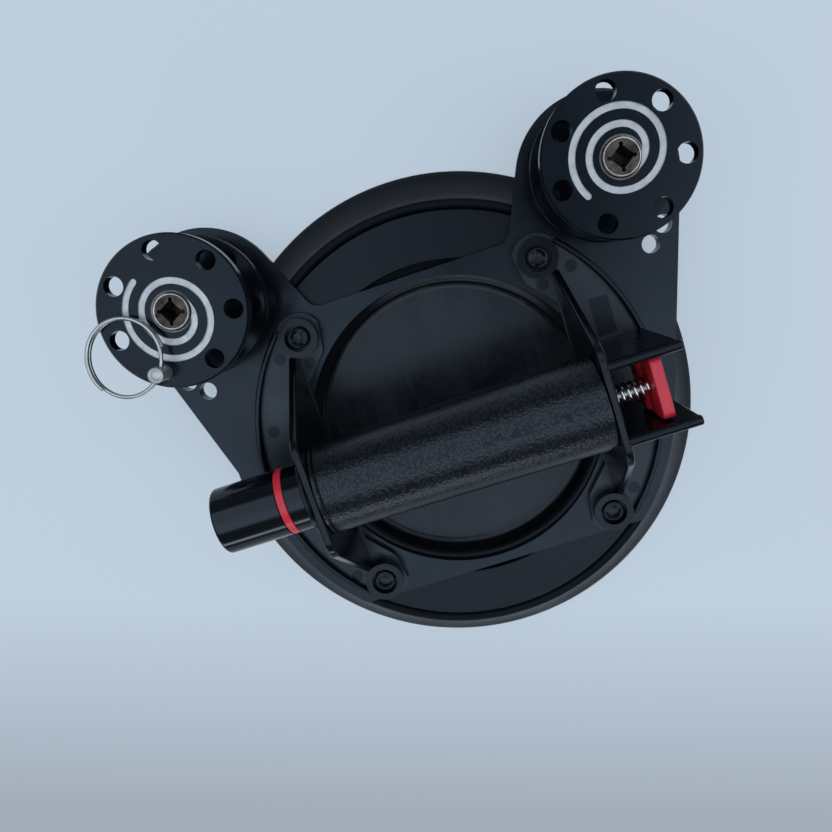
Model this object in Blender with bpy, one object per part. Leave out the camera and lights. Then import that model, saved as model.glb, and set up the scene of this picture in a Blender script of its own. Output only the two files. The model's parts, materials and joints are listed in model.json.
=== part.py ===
"""Wire-winding glass suction cup: a pump-handled vacuum cup that carries two winding reels.

Units are metres and +Z is up. The origin is the middle of the cup, on the surface it stands on.
+X runs along the grip towards the red release lever, and +Y runs towards the two reels.
"""
import math

import bmesh
import bpy
from mathutils import Matrix, Vector

MM = 0.001

# Clearances
TOUCH = 0.3 * MM
RUNNING = 0.35 * MM

# How far a rib or a boss starts inside the wall that it grows from
EMBED = 0.2 * MM

# Rubber cup and its backing disc
CUP_RADIUS = 102.0 * MM
CUP_LIP_WIDTH = 5.0 * MM
CUP_LIP_THICKNESS = 1.8 * MM
CUP_LIP_ROUNDING = 0.7 * MM
CUP_CAVITY_DEPTH = 4.5 * MM
CUP_MEMBRANE = 5.0 * MM
SKIRT_HOLLOW = 0.1
SHOULDER_RADIUS = 90.0 * MM
SHOULDER_BEAD = 4.2 * MM
BEAD_ROUNDING = 1.2 * MM
DISC_RADIUS = 85.5 * MM
DISC_RING_WIDTH = 19.3 * MM
DISC_THICKNESS = 6.0 * MM
DISC_TOP = 21.0 * MM
DISC_LEDGE = 2.0 * MM
RECESS_SLOPE_WIDTH = 9.2 * MM
RECESS_SLOPE_FOOT = 1.6 * MM
LEDGE_BEVEL = 0.9 * MM

# Mounting plate with its two ears
PLATE_THICKNESS = 3.0 * MM
PLATE_RADIUS = 88.2 * MM
PLATE_OPENING_INSET = 6.2 * MM
BACK_MARGIN = 9.3 * MM
FRONT_MARGIN = 10.1 * MM
EAR_X = 81.2 * MM
EAR_Y = 76.2 * MM
EAR_RADIUS = 31.6 * MM
EAR_ROOT_X = 41.0 * MM
EAR_ROOT_FILLET = 6.0 * MM
EAR_HOLE_RADIUS = 3.6 * MM
EAR_HOLES = ((93.7 * MM, 44.4 * MM), (100.2 * MM, 50.5 * MM))

# Handle brackets
BRACKET_RADIUS = 83.0 * MM
BRACKET_FLOOR = 2.7 * MM
LIP_WIDTH = 2.4 * MM
LIP_HEIGHT = 5.4 * MM
LIP_SPAN_DEG = 46
SCREW_INSET = 12.7 * MM
SCREW_BEARING_DEG = 47.3
BOSS_RADIUS = 7.9 * MM
BOSS_HEIGHT = 8.4 * MM
BOSS_PAD_RADIUS = 9.6 * MM
BOSS_PAD_ARC_DEG = (35, 158)
TOE_WIDTH = 7.0 * MM
TOE_LENGTH = 8.0 * MM
TOE_TIP_Y = 34.6 * MM
TOE_OVERLAP = 0.5 * MM
WEB_OUTER_X = 55.8 * MM
WEB_THICKNESS = 3.0 * MM
WEB_TOP = 81.5 * MM
WEB_TOP_HALF_WIDTH = 20.5 * MM
WEB_FOOT_HALF_WIDTH = 47.0 * MM
WEB_SHOULDER_HEIGHT = 8.0 * MM
WEB_TOP_FILLET = 8.0 * MM

# Socket-head screws that hold the brackets
SCREW_RADIUS = 2.5 * MM
SCREW_HEAD_RADIUS = 4.3 * MM
SCREW_HEAD_HEIGHT = 5.0 * MM
SCREW_SOCKET_WIDTH = 4.0 * MM
SCREW_SOCKET_DEPTH = 2.8 * MM
SCREW_ENGAGEMENT = 5.0 * MM
SCREW_HEAD_CHAMFER = 0.5 * MM
HEAD_CLEARANCE = 1.0 * MM

# Guards round the release lever
GUARD_Y = 13.4 * MM
GUARD_THICKNESS = 2.4 * MM
GUARD_REACH = 81.0 * MM
GUARD_TOP = 80.0 * MM
GUARD_BEAD_RADIUS = 1.8 * MM
GUARD_BEAD_ARC_DEG = (-42, 222)

# Pump in the grip
GRIP_Z = 67.0 * MM
GRIP_RADIUS = 17.4 * MM
GRIP_WALL = 0.9 * MM
GRIP_END_CHAMFER = 0.5 * MM
BARREL_WALL = 2.0 * MM
BUSH_LENGTH = 7.0 * MM
BUSH_FLANGE_RADIUS = 15.2 * MM
BUSH_FLANGE_THICKNESS = 1.3 * MM
BUSH_CHAMFER = 0.5 * MM
PLUNGER_RADIUS = 12.3 * MM
PLUNGER_REACH = 92.0 * MM
PLUNGER_EDGE = 1.3 * MM
PLUNGER_BORE_RADIUS = 8.0 * MM
PLUNGER_CROWN = 6.0 * MM
PISTON_LENGTH = 8.0 * MM
PISTON_GROOVE_WIDTH = 3.0 * MM
PISTON_GROOVE_DEPTH = 2.4 * MM
BAND_WIDTH = 2.9 * MM
BAND_THICKNESS = 0.7 * MM
BAND_OFFSET = 6.9 * MM
PUMP_SPRING_RADIUS = 9.0 * MM
PUMP_SPRING_WIRE = 0.8 * MM
PUMP_SPRING_TURNS = 8

# Release valve and lever
PLUG_BORE_RADIUS = 8.3 * MM
PLUG_LENGTH = 5.0 * MM
PLUG_STAND_OUT = 0.5 * MM
STEM_RADIUS = 1.4 * MM
STEM_DISC_RADIUS = 4.0 * MM
STEM_DISC_THICKNESS = 1.5 * MM
VALVE_SEAL_WIRE = 0.7 * MM
STEM_GAP = 0.5 * MM
LEVER_X = 69.7 * MM
LEVER_THICKNESS = 3.5 * MM
LEVER_HALF_WIDTH = 11.0 * MM
LEVER_TOP = 76.0 * MM
LEVER_BOTTOM = 42.0 * MM
LEVER_CORNER = 2.6 * MM
LEVER_EDGE = 0.6 * MM
LEVER_PIVOT_Z = 58.0 * MM
LEVER_HUB_RADIUS = 3.2 * MM
LEVER_PIN_RADIUS = 1.3 * MM
LEVER_PIN_BORE = 0.6 * MM
LEVER_PIN_OVERHANG = 0.8 * MM
LEVER_SPRING_RADIUS = 3.2 * MM
LEVER_SPRING_WIRE = 0.5 * MM
LEVER_SPRING_TURNS = 5

# Reels
REEL_X = 80.5 * MM
REEL_Y = 77.4 * MM
FLANGE_RADIUS = 26.9 * MM
FLANGE_THICKNESS = 5.0 * MM
FLANGE_CHAMFER = 0.6 * MM
TOP_FLANGE_TOP = 70.0 * MM
LOWER_FLANGE_TOP = 41.5 * MM
FLANGE_HOLES = 7
FLANGE_HOLE_RADIUS = 3.5 * MM
FLANGE_HOLE_INSET = 5.25 * MM
FLANGE_HOLE_START_DEG = {"left": 87, "right": 88}
CORE_RADIUS = 14.0 * MM
SHAFT_RADIUS = 6.3 * MM
SHAFT_TOP = 71.6 * MM
SHAFT_CHAMFER = 0.5 * MM
DRIVE_SQUARE = 6.5 * MM
DRIVE_DEPTH = 14.0 * MM
DRIVE_RELIEF_RADIUS = 0.75 * MM
DRIVE_TURN_DEG = {"left": 27, "right": 62}
SPIRAL_WIDTH = 2.3 * MM
SPIRAL_DEPTH = 0.5 * MM
SPIRAL_FIRST_RADIUS = 8.1 * MM
SPIRAL_STEP = 2.95 * MM
SPIRAL_HALF_TURNS = 4
SPIRAL_LAST_SWEEP_DEG = 128
SPIRAL_TURN_DEG = -18.1
HOUSING_RADIUS = 17.0 * MM
HOUSING_FOOT = 3.0 * MM
HOUSING_HUB_RADIUS = 10.5 * MM
SPINDLE_RADIUS = 5.0 * MM
WASHER_RADIUS = 10.0 * MM
WASHER_THICKNESS = 1.5 * MM
NUT_ACROSS_FLATS = 17.0 * MM
NUT_THICKNESS = 6.0 * MM
SPINDLE_END = 9.5 * MM

# Lock pin and its split ring
PIN_RADIUS = 2.75 * MM
PIN_TOP = 79.8 * MM
PIN_TIP_TAPER = 1.0 * MM
PIN_TIP_LENGTH = 2.0 * MM
PIN_CHAMFER = 0.6 * MM
PIN_CROSS_HOLE_Z = 75.3 * MM
PIN_CROSS_HOLE_RADIUS = 2.05 * MM
PIN_HOLE_NUMBER = 3
LOCK_HOLE_TURN_DEG = 180 / FLANGE_HOLES
RING_RADIUS = 12.6 * MM
RING_WIRE = 0.65 * MM
RING_PITCH = 1.45 * MM
RING_BEARING_DEG = 138

# Air nipple under the right bracket
NIPPLE_INSET = 11.2 * MM
NIPPLE_BEARING_DEG = 19.7
NIPPLE_RADIUS = 4.0 * MM
NIPPLE_BORE = 2.0 * MM
NIPPLE_ROOF = 1.0 * MM

# Places, heights and planes that follow from the sizes above
DISC_BORE_RADIUS = DISC_RADIUS - DISC_RING_WIDTH
LEDGE_RADIUS = DISC_BORE_RADIUS - DISC_LEDGE
RECESS_FLOOR_RADIUS = LEDGE_RADIUS - RECESS_SLOPE_WIDTH
PLATE_OPENING_RADIUS = DISC_BORE_RADIUS - PLATE_OPENING_INSET
BOSS_X = (DISC_RADIUS - SCREW_INSET) * math.cos(math.radians(SCREW_BEARING_DEG))
BOSS_Y = (DISC_RADIUS - SCREW_INSET) * math.sin(math.radians(SCREW_BEARING_DEG))
PLATE_BACK_EDGE = BOSS_Y + BACK_MARGIN
PLATE_FRONT_EDGE = BOSS_Y + FRONT_MARGIN
NIPPLE_X = (DISC_RADIUS - NIPPLE_INSET) * math.cos(math.radians(NIPPLE_BEARING_DEG))
NIPPLE_Y = (DISC_RADIUS - NIPPLE_INSET) * math.sin(math.radians(NIPPLE_BEARING_DEG))
PLATE_BOTTOM = DISC_TOP + TOUCH
PLATE_TOP = PLATE_BOTTOM + PLATE_THICKNESS
BRACKET_BOTTOM = PLATE_TOP + TOUCH
FLOOR_TOP = BRACKET_BOTTOM + BRACKET_FLOOR
BOSS_TOP = BRACKET_BOTTOM + BOSS_HEIGHT
WEB_INNER_X = WEB_OUTER_X - WEB_THICKNESS
SLEEVE_BORE = GRIP_RADIUS - GRIP_WALL
BARREL_RADIUS = SLEEVE_BORE - TOUCH
BARREL_BORE = BARREL_RADIUS - BARREL_WALL
BUSH_BORE = PLUNGER_RADIUS + RUNNING
BUSH_RADIUS = BARREL_BORE - TOUCH
BUSH_FACE_X = -WEB_OUTER_X - TOUCH - BUSH_FLANGE_THICKNESS
PISTON_X = -WEB_INNER_X + BUSH_LENGTH - WEB_THICKNESS + RUNNING
PISTON_RADIUS = BARREL_BORE - RUNNING
FLANGE_PITCH_RADIUS = FLANGE_RADIUS - FLANGE_HOLE_INSET
LOWER_FLANGE_BOTTOM = LOWER_FLANGE_TOP - FLANGE_THICKNESS
TOP_FLANGE_BOTTOM = TOP_FLANGE_TOP - FLANGE_THICKNESS

SIDES = {"left": -1, "right": 1}

# Steps round a full turn
CUP_STEPS = 44
ROUND_STEPS = 24
HIDDEN_STEPS = 16
FLANGE_STEPS = 36
HOLE_STEPS = 10
SPIRAL_STEPS = 9


def clear_scene():
    for item in list(bpy.data.objects):
        bpy.data.objects.remove(item, do_unlink=True)


def make_material(name, color, roughness, metallic=0.0):
    material = bpy.data.materials.new(name)
    material.use_nodes = True
    shader = material.node_tree.nodes["Principled BSDF"]
    shader.inputs["Base Color"].default_value = (*color, 1.0)
    shader.inputs["Roughness"].default_value = roughness
    shader.inputs["Metallic"].default_value = metallic
    return material


def finish_object(name, mesh, material, place=(0, 0, 0), turn=(0, 0, 0), parent=None):
    item = bpy.data.objects.new(name, mesh)
    bpy.context.collection.objects.link(item)
    item.location = place
    item.rotation_euler = turn
    item.parent = parent
    if material is not None:
        mesh.materials.append(material)
    return item


def mesh_from(name, solid, smooth=True):
    bmesh.ops.remove_doubles(solid, verts=solid.verts, dist=0.00001)
    bmesh.ops.recalc_face_normals(solid, faces=solid.faces)
    mesh = bpy.data.meshes.new(name)
    solid.to_mesh(mesh)
    solid.free()
    if smooth:
        mesh.shade_smooth()
        mesh.set_sharp_from_angle(angle=math.radians(35))
    return mesh


def make_empty(name, place):
    empty = bpy.data.objects.new(name, None)
    bpy.context.collection.objects.link(empty)
    empty.location = place
    return empty


def hide_tool(item):
    item.hide_render = True
    item.display_type = "WIRE"
    return item


def boolean(item, tool, operation):
    modifier = item.modifiers.new(tool.name, "BOOLEAN")
    modifier.operation = operation
    modifier.solver = "EXACT"
    modifier.object = hide_tool(tool)


def arc(center, radius, start, end, steps):
    """Points on an arc from start to end degrees, both ends included."""
    points = []
    for step in range(steps + 1):
        angle = math.radians(start + (end - start) * step / steps)
        points.append((center[0] + radius * math.cos(angle), center[1] + radius * math.sin(angle)))
    return points


def fillet(before, corner, after, radius, steps=4):
    """Points that round one corner of a polygon, whichever way it turns."""
    corner = Vector(corner)
    back = (Vector(before) - corner).normalized()
    ahead = (Vector(after) - corner).normalized()
    half = back.angle(ahead) / 2
    start = corner + back * radius / math.tan(half)
    center = corner + (back + ahead).normalized() * radius / math.sin(half)
    sweep = math.pi - 2 * half
    turn = 1 if back.cross(ahead) < 0 else -1
    arm = start - center
    turns = [Matrix.Rotation(turn * sweep * step / steps, 2) for step in range(steps + 1)]
    return [tuple(center + rotation @ arm) for rotation in turns]


def rounded(corners, steps=4):
    """A closed outline from (x, y, radius) corners."""
    outline = []
    for index, (x, y, radius) in enumerate(corners):
        before = corners[index - 1][:2]
        after = corners[(index + 1) % len(corners)][:2]
        outline += fillet(before, (x, y), after, radius, steps) if radius else [(x, y)]
    return outline


def prism(outline, bottom, top):
    """A flat outline in XY made solid between two heights."""
    solid = bmesh.new()
    face = solid.faces.new([solid.verts.new((x, y, bottom)) for x, y in outline])
    raised = bmesh.ops.extrude_face_region(solid, geom=[face])
    corners = [part for part in raised["geom"] if isinstance(part, bmesh.types.BMVert)]
    bmesh.ops.translate(solid, verts=corners, vec=(0, 0, top - bottom))
    return solid


def lathe(profile, steps=ROUND_STEPS):
    """A (radius, height) profile spun about Z; a profile that ends on the axis stays open there."""
    solid = bmesh.new()
    corners = [solid.verts.new((radius, 0, height)) for radius, height in profile]
    edges = [solid.edges.new(pair) for pair in zip(corners, corners[1:])]
    if profile[0][0] > 0 or profile[-1][0] > 0:
        edges.append(solid.edges.new((corners[-1], corners[0])))
    bmesh.ops.spin(solid, geom=corners + edges, axis=(0, 0, 1), cent=(0, 0, 0), dvec=(0, 0, 0),
                   angle=2 * math.pi, steps=steps, use_merge=True, use_duplicate=False)
    bmesh.ops.remove_doubles(solid, verts=solid.verts, dist=0.00001)
    return solid


def rod(radius, bottom, top, steps=HOLE_STEPS):
    return prism(arc((0, 0), radius, 0, 360 - 360 / steps, steps - 1), bottom, top)


def tube(outer, inner, bottom, top, steps=ROUND_STEPS, chamfer=0.0):
    profile = [(inner, bottom), (outer - chamfer, bottom), (outer, bottom + chamfer),
               (outer, top - chamfer), (outer - chamfer, top), (inner, top)]
    if not chamfer:
        profile = [(inner, bottom), (outer, bottom), (outer, top), (inner, top)]
    return lathe(profile, steps)


def hexagon(across_flats):
    """The six corners of a hexagon of that width across its flats."""
    return arc((0, 0), across_flats / math.sqrt(3), 0, 360 - 360 / 6, 5)


def moved(solid, offset):
    bmesh.ops.translate(solid, verts=solid.verts, vec=offset)
    return solid


def turned(solid, degrees, axis):
    rotation = Matrix.Rotation(math.radians(degrees), 3, axis)
    bmesh.ops.rotate(solid, verts=solid.verts, cent=(0, 0, 0), matrix=rotation)
    return solid


def along_x(solid):
    """Lays a solid that was made along Z down along +X."""
    return turned(solid, 90, "Y")


def gather(solids):
    """Several separate solids in one bmesh."""
    together = bmesh.new()
    for solid in solids:
        mesh = bpy.data.meshes.new("gathered")
        solid.to_mesh(mesh)
        solid.free()
        together.from_mesh(mesh)
        bpy.data.meshes.remove(mesh)
    return together


def tool(name, solids):
    solid = gather(solids)
    bmesh.ops.recalc_face_normals(solid, faces=solid.faces)
    mesh = bpy.data.meshes.new(name)
    solid.to_mesh(mesh)
    solid.free()
    return finish_object(name, mesh, None)


def boss_centers(side=None):
    signs = (-1, 1) if side is None else (SIDES[side],)
    return [(sx * BOSS_X, sy * BOSS_Y) for sx in signs for sy in (-1, 1)]


def wire(name, points, radius, material, closed=False, sides=2):
    """A round wire along a list of points, with its ends capped."""
    curve = bpy.data.curves.new(name, "CURVE")
    curve.dimensions = "3D"
    curve.bevel_depth = radius
    curve.bevel_resolution = sides
    curve.use_fill_caps = not closed
    spline = curve.splines.new("POLY")
    spline.points.add(len(points) - 1)
    for target, point in zip(spline.points, points):
        target.co = (*point, 1.0)
    spline.use_cyclic_u = closed
    curve.materials.append(material)
    item = bpy.data.objects.new(name, curve)
    bpy.context.collection.objects.link(item)
    return item


def helix(radius, length, turns, steps):
    """Points of a coil along +X from x = 0, with one closed turn at each end."""
    points = []
    total = turns * steps
    for step in range(total + 1):
        angle = 2 * math.pi * step / steps
        points.append((length * step / total, radius * math.cos(angle), radius * math.sin(angle)))
    return points


def screw_holes(low, high):
    """Clearance holes for the four bracket screws."""
    return [moved(rod(SCREW_RADIUS + TOUCH, low, high), (x, y, 0)) for x, y in boss_centers()]


def nipple_hole(low, high):
    return moved(rod(NIPPLE_RADIUS + TOUCH, low, high), (NIPPLE_X, NIPPLE_Y, 0))


def make_cup(material):
    cavity = CUP_CAVITY_DEPTH
    floor = cavity + CUP_MEMBRANE
    seat = DISC_TOP - DISC_THICKNESS - TOUCH
    bead_inner = DISC_RADIUS + TOUCH
    bead_middle = (bead_inner + SHOULDER_RADIUS) / 2
    lip_inner = CUP_RADIUS - CUP_LIP_WIDTH
    skirt_drop = DISC_TOP - SHOULDER_BEAD
    skirt_run = CUP_RADIUS - SHOULDER_RADIUS
    profile = [(0, cavity), (SHOULDER_RADIUS * 0.78, cavity), (SHOULDER_RADIUS, cavity * 0.7),
               (lip_inner, 0), (CUP_RADIUS - CUP_LIP_ROUNDING, 0),
               (CUP_RADIUS, CUP_LIP_ROUNDING), (CUP_RADIUS - CUP_LIP_ROUNDING / 2, CUP_LIP_THICKNESS),
               (CUP_RADIUS - skirt_run * (0.5 + SKIRT_HOLLOW), (CUP_LIP_THICKNESS + skirt_drop) / 2),
               (SHOULDER_RADIUS, skirt_drop),
               (SHOULDER_RADIUS - BEAD_ROUNDING / 2, DISC_TOP - BEAD_ROUNDING),
               (bead_middle, DISC_TOP), (bead_inner, DISC_TOP - LEDGE_BEVEL)]
    slope = RECESS_SLOPE_WIDTH / 3
    profile += [(bead_inner, seat), (LEDGE_RADIUS, seat), (LEDGE_RADIUS - slope, seat - LEDGE_BEVEL),
                (RECESS_FLOOR_RADIUS + slope, floor + RECESS_SLOPE_FOOT), (RECESS_FLOOR_RADIUS, floor),
                (0, floor)]
    mesh = mesh_from("rubber_cup", lathe(profile, CUP_STEPS))
    cup = finish_object("rubber_cup", mesh, material)
    hole = moved(rod(NIPPLE_BORE, -1 * MM, DISC_TOP, 12), (NIPPLE_X, NIPPLE_Y, 0))
    boolean(cup, tool("cup_air_hole", [hole]), "DIFFERENCE")
    return cup


def make_backing_disc(material):
    bottom = DISC_TOP - DISC_THICKNESS
    ring = tube(DISC_RADIUS, DISC_BORE_RADIUS, bottom, DISC_TOP, CUP_STEPS)
    disc = finish_object("backing_disc", mesh_from("backing_disc", ring), material)
    holes = screw_holes(bottom - MM, DISC_TOP + MM)
    holes.append(nipple_hole(bottom - MM, DISC_TOP + MM))
    boolean(disc, tool("disc_holes", holes), "DIFFERENCE")
    return disc


def plate_half_outline():
    """The right half of the plate, from the middle of its back edge round to its front edge."""
    ear = Vector((EAR_X, EAR_Y))
    root = Vector((EAR_ROOT_X, PLATE_BACK_EDGE))
    away = ear - root
    spread = math.degrees(math.asin(EAR_RADIUS / away.length))
    heading = math.degrees(math.atan2(away.y, away.x))
    inner_angle = heading + spread + 90
    touch = arc(ear, EAR_RADIUS, inner_angle, inner_angle, 1)[0]
    lean = math.acos((PLATE_RADIUS - EAR_RADIUS) / ear.length)
    outer_angle = math.degrees(math.atan2(ear.y, ear.x) - lean)
    front_angle = -math.degrees(math.asin(PLATE_FRONT_EDGE / PLATE_RADIUS))
    outline = fillet((0, PLATE_BACK_EDGE), root, touch, EAR_ROOT_FILLET)
    outline += arc(ear, EAR_RADIUS, inner_angle, outer_angle, 16)
    outline += arc((0, 0), PLATE_RADIUS, outer_angle, front_angle, 6)
    return outline


def make_plate(material):
    half = plate_half_outline()
    outline = half + [(-x, y) for x, y in reversed(half)]
    mesh = mesh_from("mounting_plate", prism(outline, PLATE_BOTTOM, PLATE_TOP))
    plate = finish_object("mounting_plate", mesh, material)
    low, high = PLATE_BOTTOM - MM, PLATE_TOP + MM
    holes = [rod(PLATE_OPENING_RADIUS, low, high, CUP_STEPS)]
    holes += screw_holes(low, high)
    holes.append(nipple_hole(low, high))
    for sign in SIDES.values():
        hub = rod(HOUSING_HUB_RADIUS + TOUCH, low, high, HIDDEN_STEPS)
        holes.append(moved(hub, (sign * REEL_X, REEL_Y, 0)))
        holes += [moved(rod(EAR_HOLE_RADIUS, low, high, 12), (sign * x, y, 0)) for x, y in EAR_HOLES]
    holes.append(moved(rod(FLANGE_HOLE_RADIUS, low, high), (*pin_place(LOCK_HOLE_TURN_DEG), 0)))
    boolean(plate, tool("plate_holes", holes), "DIFFERENCE")
    return plate


def bracket_outline():
    """The right bracket's foot seen from above: rim arc, boss pads and the two inboard toes."""
    pad = (BOSS_X, BOSS_Y)
    rim_end = math.degrees(math.atan2(BOSS_Y + BOSS_PAD_RADIUS * 0.5, BOSS_X + BOSS_PAD_RADIUS * 0.72))
    upper = arc(pad, BOSS_PAD_RADIUS, *BOSS_PAD_ARC_DEG, 8)
    upper += [(BOSS_X - TOE_WIDTH, BOSS_Y - TOE_LENGTH), (WEB_INNER_X - TOE_OVERLAP, TOE_TIP_Y)]
    lower = [(x, -y) for x, y in reversed(upper)]
    return arc((0, 0), BRACKET_RADIUS, -rim_end, rim_end, 18) + upper + lower


def web_outline():
    """The web as (y, z) corners with a fillet radius each."""
    foot = BRACKET_BOTTOM + WEB_SHOULDER_HEIGHT
    base = BRACKET_BOTTOM + EMBED
    return [(-WEB_FOOT_HALF_WIDTH, base, 0), (WEB_FOOT_HALF_WIDTH, base, 0),
            (WEB_FOOT_HALF_WIDTH, foot, 0), (WEB_TOP_HALF_WIDTH, WEB_TOP, WEB_TOP_FILLET),
            (-WEB_TOP_HALF_WIDTH, WEB_TOP, WEB_TOP_FILLET), (-WEB_FOOT_HALF_WIDTH, foot, 0)]


def upright(outline, start_x, end_x):
    """A (y, z) outline made solid between two x planes."""
    solid = prism(outline, start_x, end_x)
    swap = Matrix(((0, 0, 1), (1, 0, 0), (0, 1, 0)))
    for vert in solid.verts:
        vert.co = swap @ vert.co
    return solid


def make_bracket(side, material):
    name = side + "_bracket"
    foot = prism(bracket_outline(), BRACKET_BOTTOM, FLOOR_TOP)
    rim = arc((0, 0), BRACKET_RADIUS - EMBED, -LIP_SPAN_DEG, LIP_SPAN_DEG, 18)
    rim += arc((0, 0), BRACKET_RADIUS - LIP_WIDTH, LIP_SPAN_DEG, -LIP_SPAN_DEG, 18)
    lip = prism(rim, BRACKET_BOTTOM + 2 * EMBED, BRACKET_BOTTOM + LIP_HEIGHT)
    boss = BRACKET_BOTTOM + 3 * EMBED
    places = [(x, y, 0) for x, y in boss_centers("right")]
    bosses = [moved(rod(BOSS_RADIUS, boss, BOSS_TOP, ROUND_STEPS), place) for place in places]
    web = upright(rounded(web_outline(), 4), WEB_INNER_X, WEB_OUTER_X)
    pieces = {"lip": [lip], "bosses": bosses, "web": [web]}
    if side == "right":
        pieces["guards"] = make_guards()
    seat = BOSS_TOP - SCREW_HEAD_HEIGHT
    hole, recess = SCREW_RADIUS + TOUCH, SCREW_HEAD_RADIUS + HEAD_CLEARANCE
    stepped = [(0, 0), (hole, 0), (hole, seat), (recess, seat),
               (recess, BOSS_TOP + MM), (0, BOSS_TOP + MM)]
    cuts = [moved(lathe(stepped, 20), place) for place in places]
    bore = PLUG_BORE_RADIUS if side == "right" else BARREL_BORE
    cuts.append(moved(along_x(rod(bore, WEB_INNER_X - MM, WEB_OUTER_X + MM, ROUND_STEPS)), (0, 0, GRIP_Z)))
    if side == "right":
        pocket = rod(NIPPLE_RADIUS + TOUCH, BRACKET_BOTTOM - MM, FLOOR_TOP - NIPPLE_ROOF)
        cuts.append(moved(pocket, (NIPPLE_X, NIPPLE_Y, 0)))
        cross = turned(rod(LEVER_PIN_RADIUS + TOUCH, -3 * GUARD_Y, 3 * GUARD_Y, 12), 90, "X")
        cuts.append(moved(cross, (LEVER_X + LEVER_THICKNESS / 2, 0, LEVER_PIVOT_Z)))
    groups = [foot] + [gather(solids) for solids in pieces.values()] + [gather(cuts)]
    if side == "left":
        groups = [turned(solid, 180, "Z") for solid in groups]
    bracket = finish_object(name, mesh_from(name, groups[0]), material)
    for label, solid in zip(pieces, groups[1:-1]):
        boolean(bracket, tool(name + "_" + label, [solid]), "UNION")
    boolean(bracket, tool(name + "_cuts", [groups[-1]]), "DIFFERENCE")
    return bracket


def make_guards():
    """Two upright fins with a rounded bead along the top, either side of the release lever."""
    half = GUARD_THICKNESS / 2
    start = WEB_OUTER_X - MM
    fins = []
    for sy in (-1, 1):
        y = sy * GUARD_Y
        outline = [(y - half, BRACKET_BOTTOM + 4 * EMBED), (y + half, BRACKET_BOTTOM + 4 * EMBED)]
        outline += arc((y, GUARD_TOP), GUARD_BEAD_RADIUS, *GUARD_BEAD_ARC_DEG, 10)
        fins.append(upright(outline, start, GUARD_REACH))
    return fins


def make_screws(material):
    bottom = DISC_TOP - SCREW_ENGAGEMENT
    seat = BOSS_TOP - SCREW_HEAD_HEIGHT + TOUCH
    top = seat + SCREW_HEAD_HEIGHT
    profile = [(0, bottom), (SCREW_RADIUS, bottom), (SCREW_RADIUS, seat), (SCREW_HEAD_RADIUS, seat),
               (SCREW_HEAD_RADIUS, top - SCREW_HEAD_CHAMFER),
               (SCREW_HEAD_RADIUS - SCREW_HEAD_CHAMFER, top), (0, top)]
    for number, (x, y) in enumerate(boss_centers(), 1):
        name = "bracket_screw_" + str(number)
        screw = finish_object(name, mesh_from(name, lathe(profile, 16)), material, (x, y, 0))
        recess = prism(hexagon(SCREW_SOCKET_WIDTH), top - SCREW_SOCKET_DEPTH, top + MM)
        socket = tool(name + "_socket", [recess])
        socket.location = (x, y, 0)
        boolean(screw, socket, "DIFFERENCE")


def make_grip(sleeve_material, barrel_material):
    end = WEB_INNER_X - 1.5 * TOUCH
    sleeve = along_x(tube(GRIP_RADIUS, SLEEVE_BORE, -end, end, chamfer=GRIP_END_CHAMFER))
    finish_object("grip_sleeve", mesh_from("grip_sleeve", sleeve), sleeve_material, (0, 0, GRIP_Z))
    end = WEB_INNER_X - TOUCH
    barrel = along_x(tube(BARREL_RADIUS, BARREL_BORE, -end, end))
    finish_object("pump_barrel", mesh_from("pump_barrel", barrel), barrel_material, (0, 0, GRIP_Z))


def make_bush(material):
    face = BUSH_FACE_X
    shoulder = face + BUSH_FLANGE_THICKNESS
    end = PISTON_X - RUNNING
    profile = [(BUSH_BORE, face), (BUSH_FLANGE_RADIUS - BUSH_CHAMFER, face),
               (BUSH_FLANGE_RADIUS, face + BUSH_CHAMFER), (BUSH_FLANGE_RADIUS, shoulder),
               (BUSH_RADIUS, shoulder), (BUSH_RADIUS, end), (BUSH_BORE, end)]
    mesh = mesh_from("plunger_bush", along_x(lathe(profile)))
    finish_object("plunger_bush", mesh, material, (0, 0, GRIP_Z))


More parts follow.
